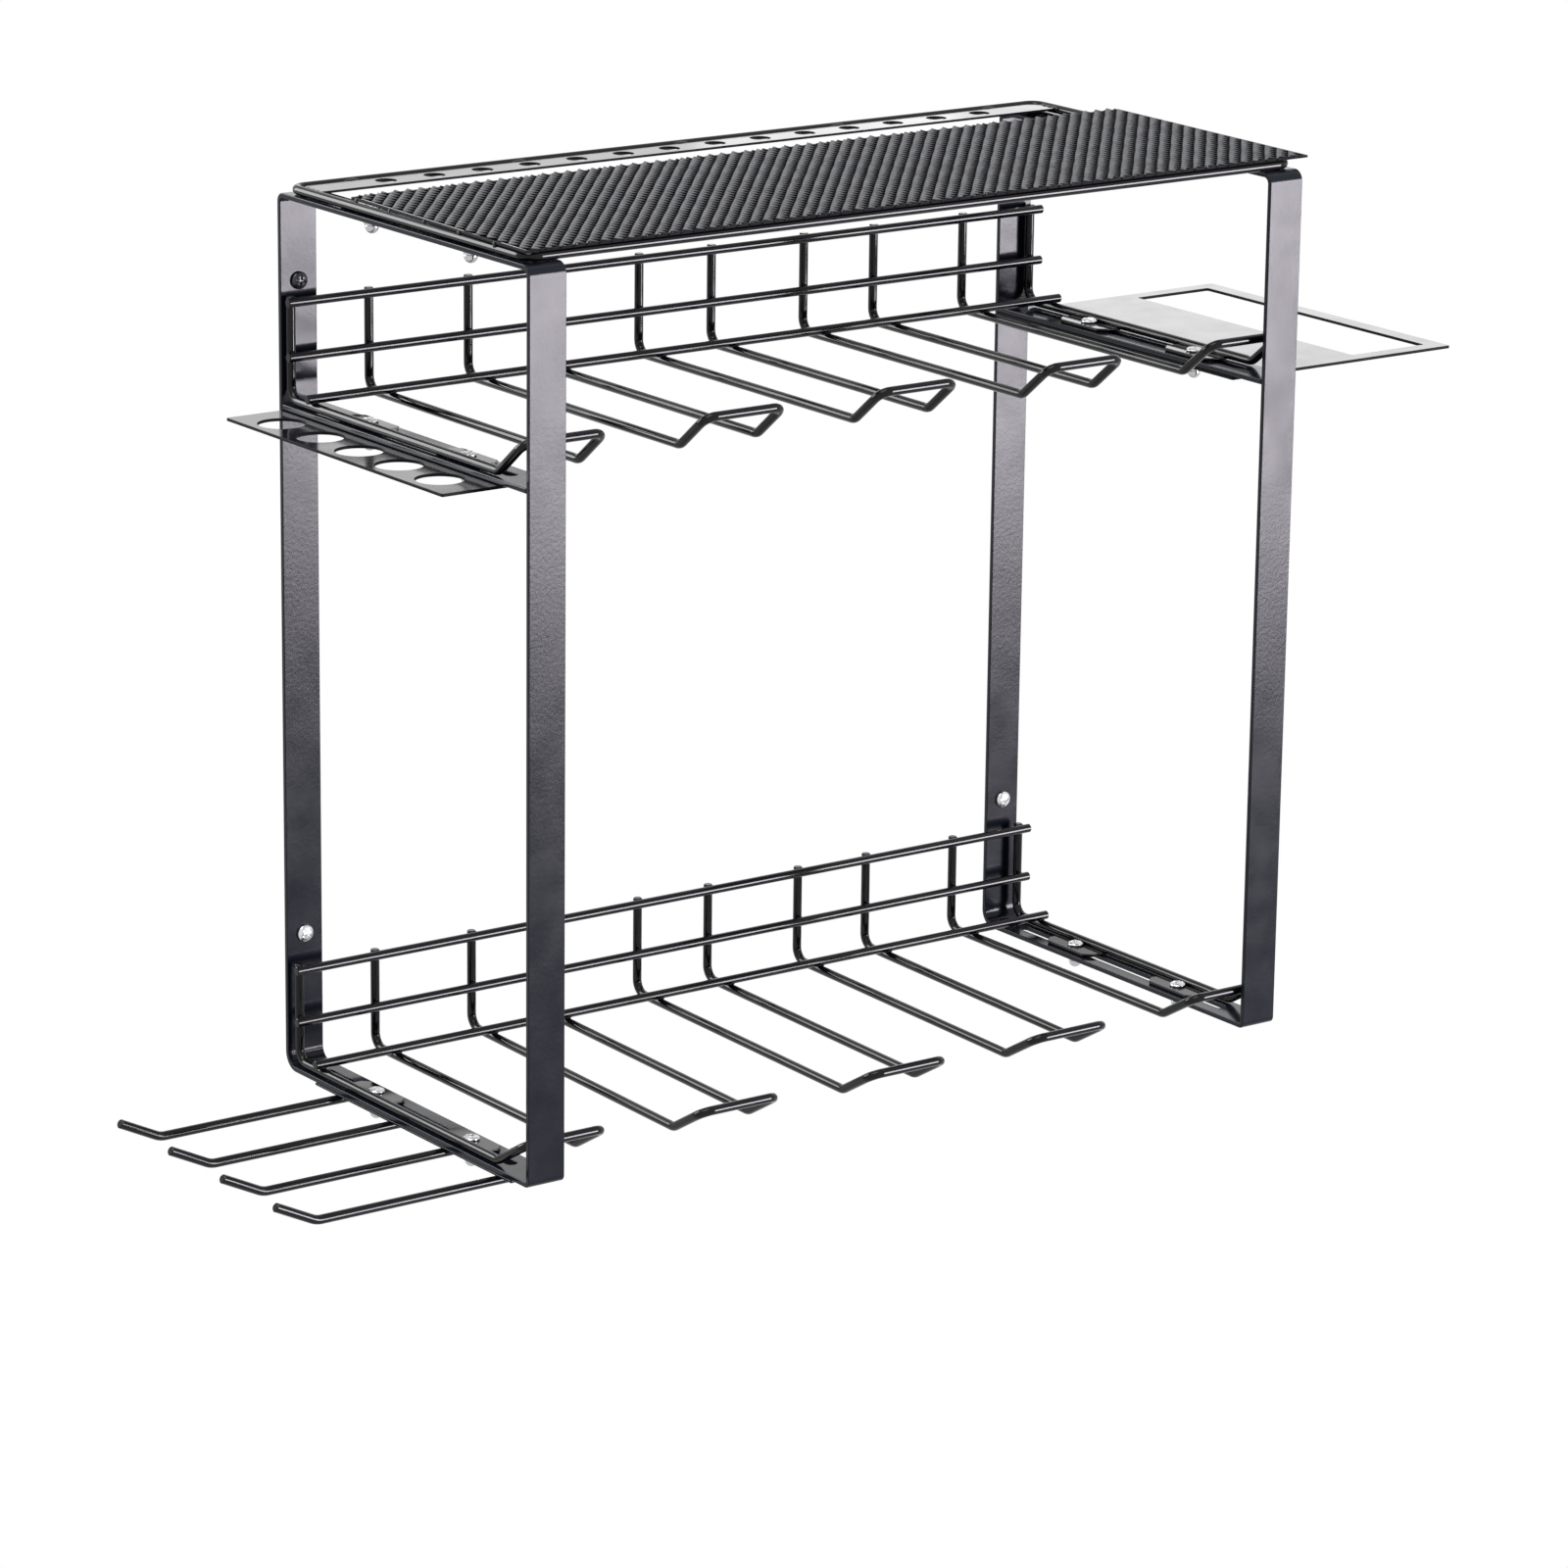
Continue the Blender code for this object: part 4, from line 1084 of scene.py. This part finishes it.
studio = {
    "floorHeight": -1.25,
    "floorRadius": 2.4,
    "floorSides": 96,
    "floorRings": (1.0, 0.5, 0.02),     # shares of the radius
    "floorFade": (0.5, 0.9),            # and those between which it turns white
    "floorColour": (0.80, 0.80, 0.81),
    "floorGlow": 0.85,
    "fill": 0.22,
    "lamps": {
        # name: place, what it faces, width, height, watts, colour
        "key softbox": ((5.12, -7.37, -0.05), (0, 0, -0.05), 2.5, 3.7, 930, (0.98, 0.92, 1)),
        "back softbox": ((1.36, 1.26, 0.68), (0.27, -0.10, 0.68), 0.75, 0.16, 0.52, (1, 0.98, 1)),
        "back panel": ((0.84, 1.43, 0.735), (-0.12, -0.02, 0.735), 0.7, 0.32, 0.39, (1, 0.98, 1)),
        "left softbox": ((-1.02, 1.11, 0.80), (-0.22, -0.10, 0.44), 0.8, 0.9, 20, (1, 1, 1)),
        "top softbox": ((-1.4, -0.4, 3.1), (0, -0.1, 0.3), 2.2, 2.2, 60, (1, 1, 1)),
    },
}


def mathNode(nodes, links, operation, first, second):
    node = nodes.new("ShaderNodeMath")
    node.operation = operation
    links.new(first, node.inputs[0])
    links.new(second, node.inputs[1])
    return node.outputs[0]


def seenDirectly(nodes, links):
    # one for what is seen, also in metal or through glass, and nothing for the light itself
    rays = nodes.new("ShaderNodeLightPath").outputs
    seen = mathNode(nodes, links, "MAXIMUM", rays["Is Camera Ray"], rays["Is Glossy Ray"])
    return mathNode(nodes, links, "MAXIMUM", seen, rays["Is Transmission Ray"])


def addWorld():
    # white for the camera and for reflections, a plain level for the light itself
    world = bpy.data.worlds.new("studio")
    world.use_nodes = True
    nodes, links = world.node_tree.nodes, world.node_tree.links
    background = nodes["Background"]
    background.inputs["Color"].default_value = (1, 1, 1, 1)
    strength = nodes.new("ShaderNodeMapRange")
    strength.inputs["To Min"].default_value = studio["fill"]
    strength.inputs["To Max"].default_value = 1
    links.new(seenDirectly(nodes, links), strength.inputs["Value"])
    links.new(strength.outputs["Result"], background.inputs["Strength"])
    bpy.context.scene.world = world


def floorMaterial():
    # pale and matt for the light, and as bright as the background where it is seen; the share
    # of that brightness grows from the middle to the rim
    material = bpy.data.materials.new("floor")
    material.use_nodes = True
    nodes, links = material.node_tree.nodes, material.node_tree.links
    nodes.remove(nodes["Principled BSDF"])
    paint = nodes.new("ShaderNodeBsdfDiffuse")
    paint.inputs["Color"].default_value = (*studio["floorColour"], 1)
    glow = nodes.new("ShaderNodeEmission")
    glow.inputs["Strength"].default_value = 1
    place = nodes.new("ShaderNodeTexCoord")
    length = nodes.new("ShaderNodeVectorMath")
    length.operation = "LENGTH"
    links.new(place.outputs["Object"], length.inputs[0])
    fade = nodes.new("ShaderNodeMapRange")
    fade.inputs["From Min"].default_value = studio["floorRadius"] * studio["floorFade"][0]
    fade.inputs["From Max"].default_value = studio["floorRadius"] * studio["floorFade"][1]
    fade.inputs["To Min"].default_value = studio["floorGlow"]
    fade.inputs["To Max"].default_value = 1
    links.new(length.outputs["Value"], fade.inputs["Value"])
    share = mathNode(nodes, links, "MULTIPLY", fade.outputs["Result"], seenDirectly(nodes, links))
    mix = nodes.new("ShaderNodeMixShader")
    links.new(share, mix.inputs["Fac"])
    links.new(paint.outputs[0], mix.inputs[1])
    links.new(glow.outputs[0], mix.inputs[2])
    links.new(mix.outputs[0], nodes["Material Output"].inputs["Surface"])
    return material


def addFloor():
    # rings r * (cos a, sin a) round a flat middle, far below the rack
    a, count = fullTurn(studio["floorSides"]), studio["floorSides"]
    level = np.full(count, studio["floorHeight"])
    radii = [studio["floorRadius"] * share for share in studio["floorRings"]]
    rows = np.stack([np.stack([r * np.cos(a), r * np.sin(a), level], axis=1) for r in radii])
    quads = gridQuads(len(radii), count, False, True)
    middle = endCaps(len(radii), count)[1:]
    shape = merged([(rows.reshape(-1, 3), quads, False, 0), (None, middle, False, 0)], shared=True)
    floor = bpy.data.objects.new("floor", putMesh("floor", shape))
    bpy.context.scene.collection.objects.link(floor)
    floor.data.materials.append(floorMaterial())


def addLamps():
    for name, (place, target, width, height, watts, colour) in studio["lamps"].items():
        data = bpy.data.lights.new(name, "AREA")
        data.shape = "RECTANGLE"
        data.size = width
        data.size_y = height
        data.energy = watts
        data.color = colour
        lamp = bpy.data.objects.new(name, data)
        turn = (Vector(target) - Vector(place)).to_track_quat("-Z", "Y").to_matrix()
        lamp.matrix_world = Matrix.Translation(place) @ turn.to_4x4()
        lamp.visible_camera = False
        bpy.context.scene.collection.objects.link(lamp)


addWorld()
addFloor()
addLamps()
bpy.context.scene.view_settings.view_transform = "Standard"
print("stage: floor and light")
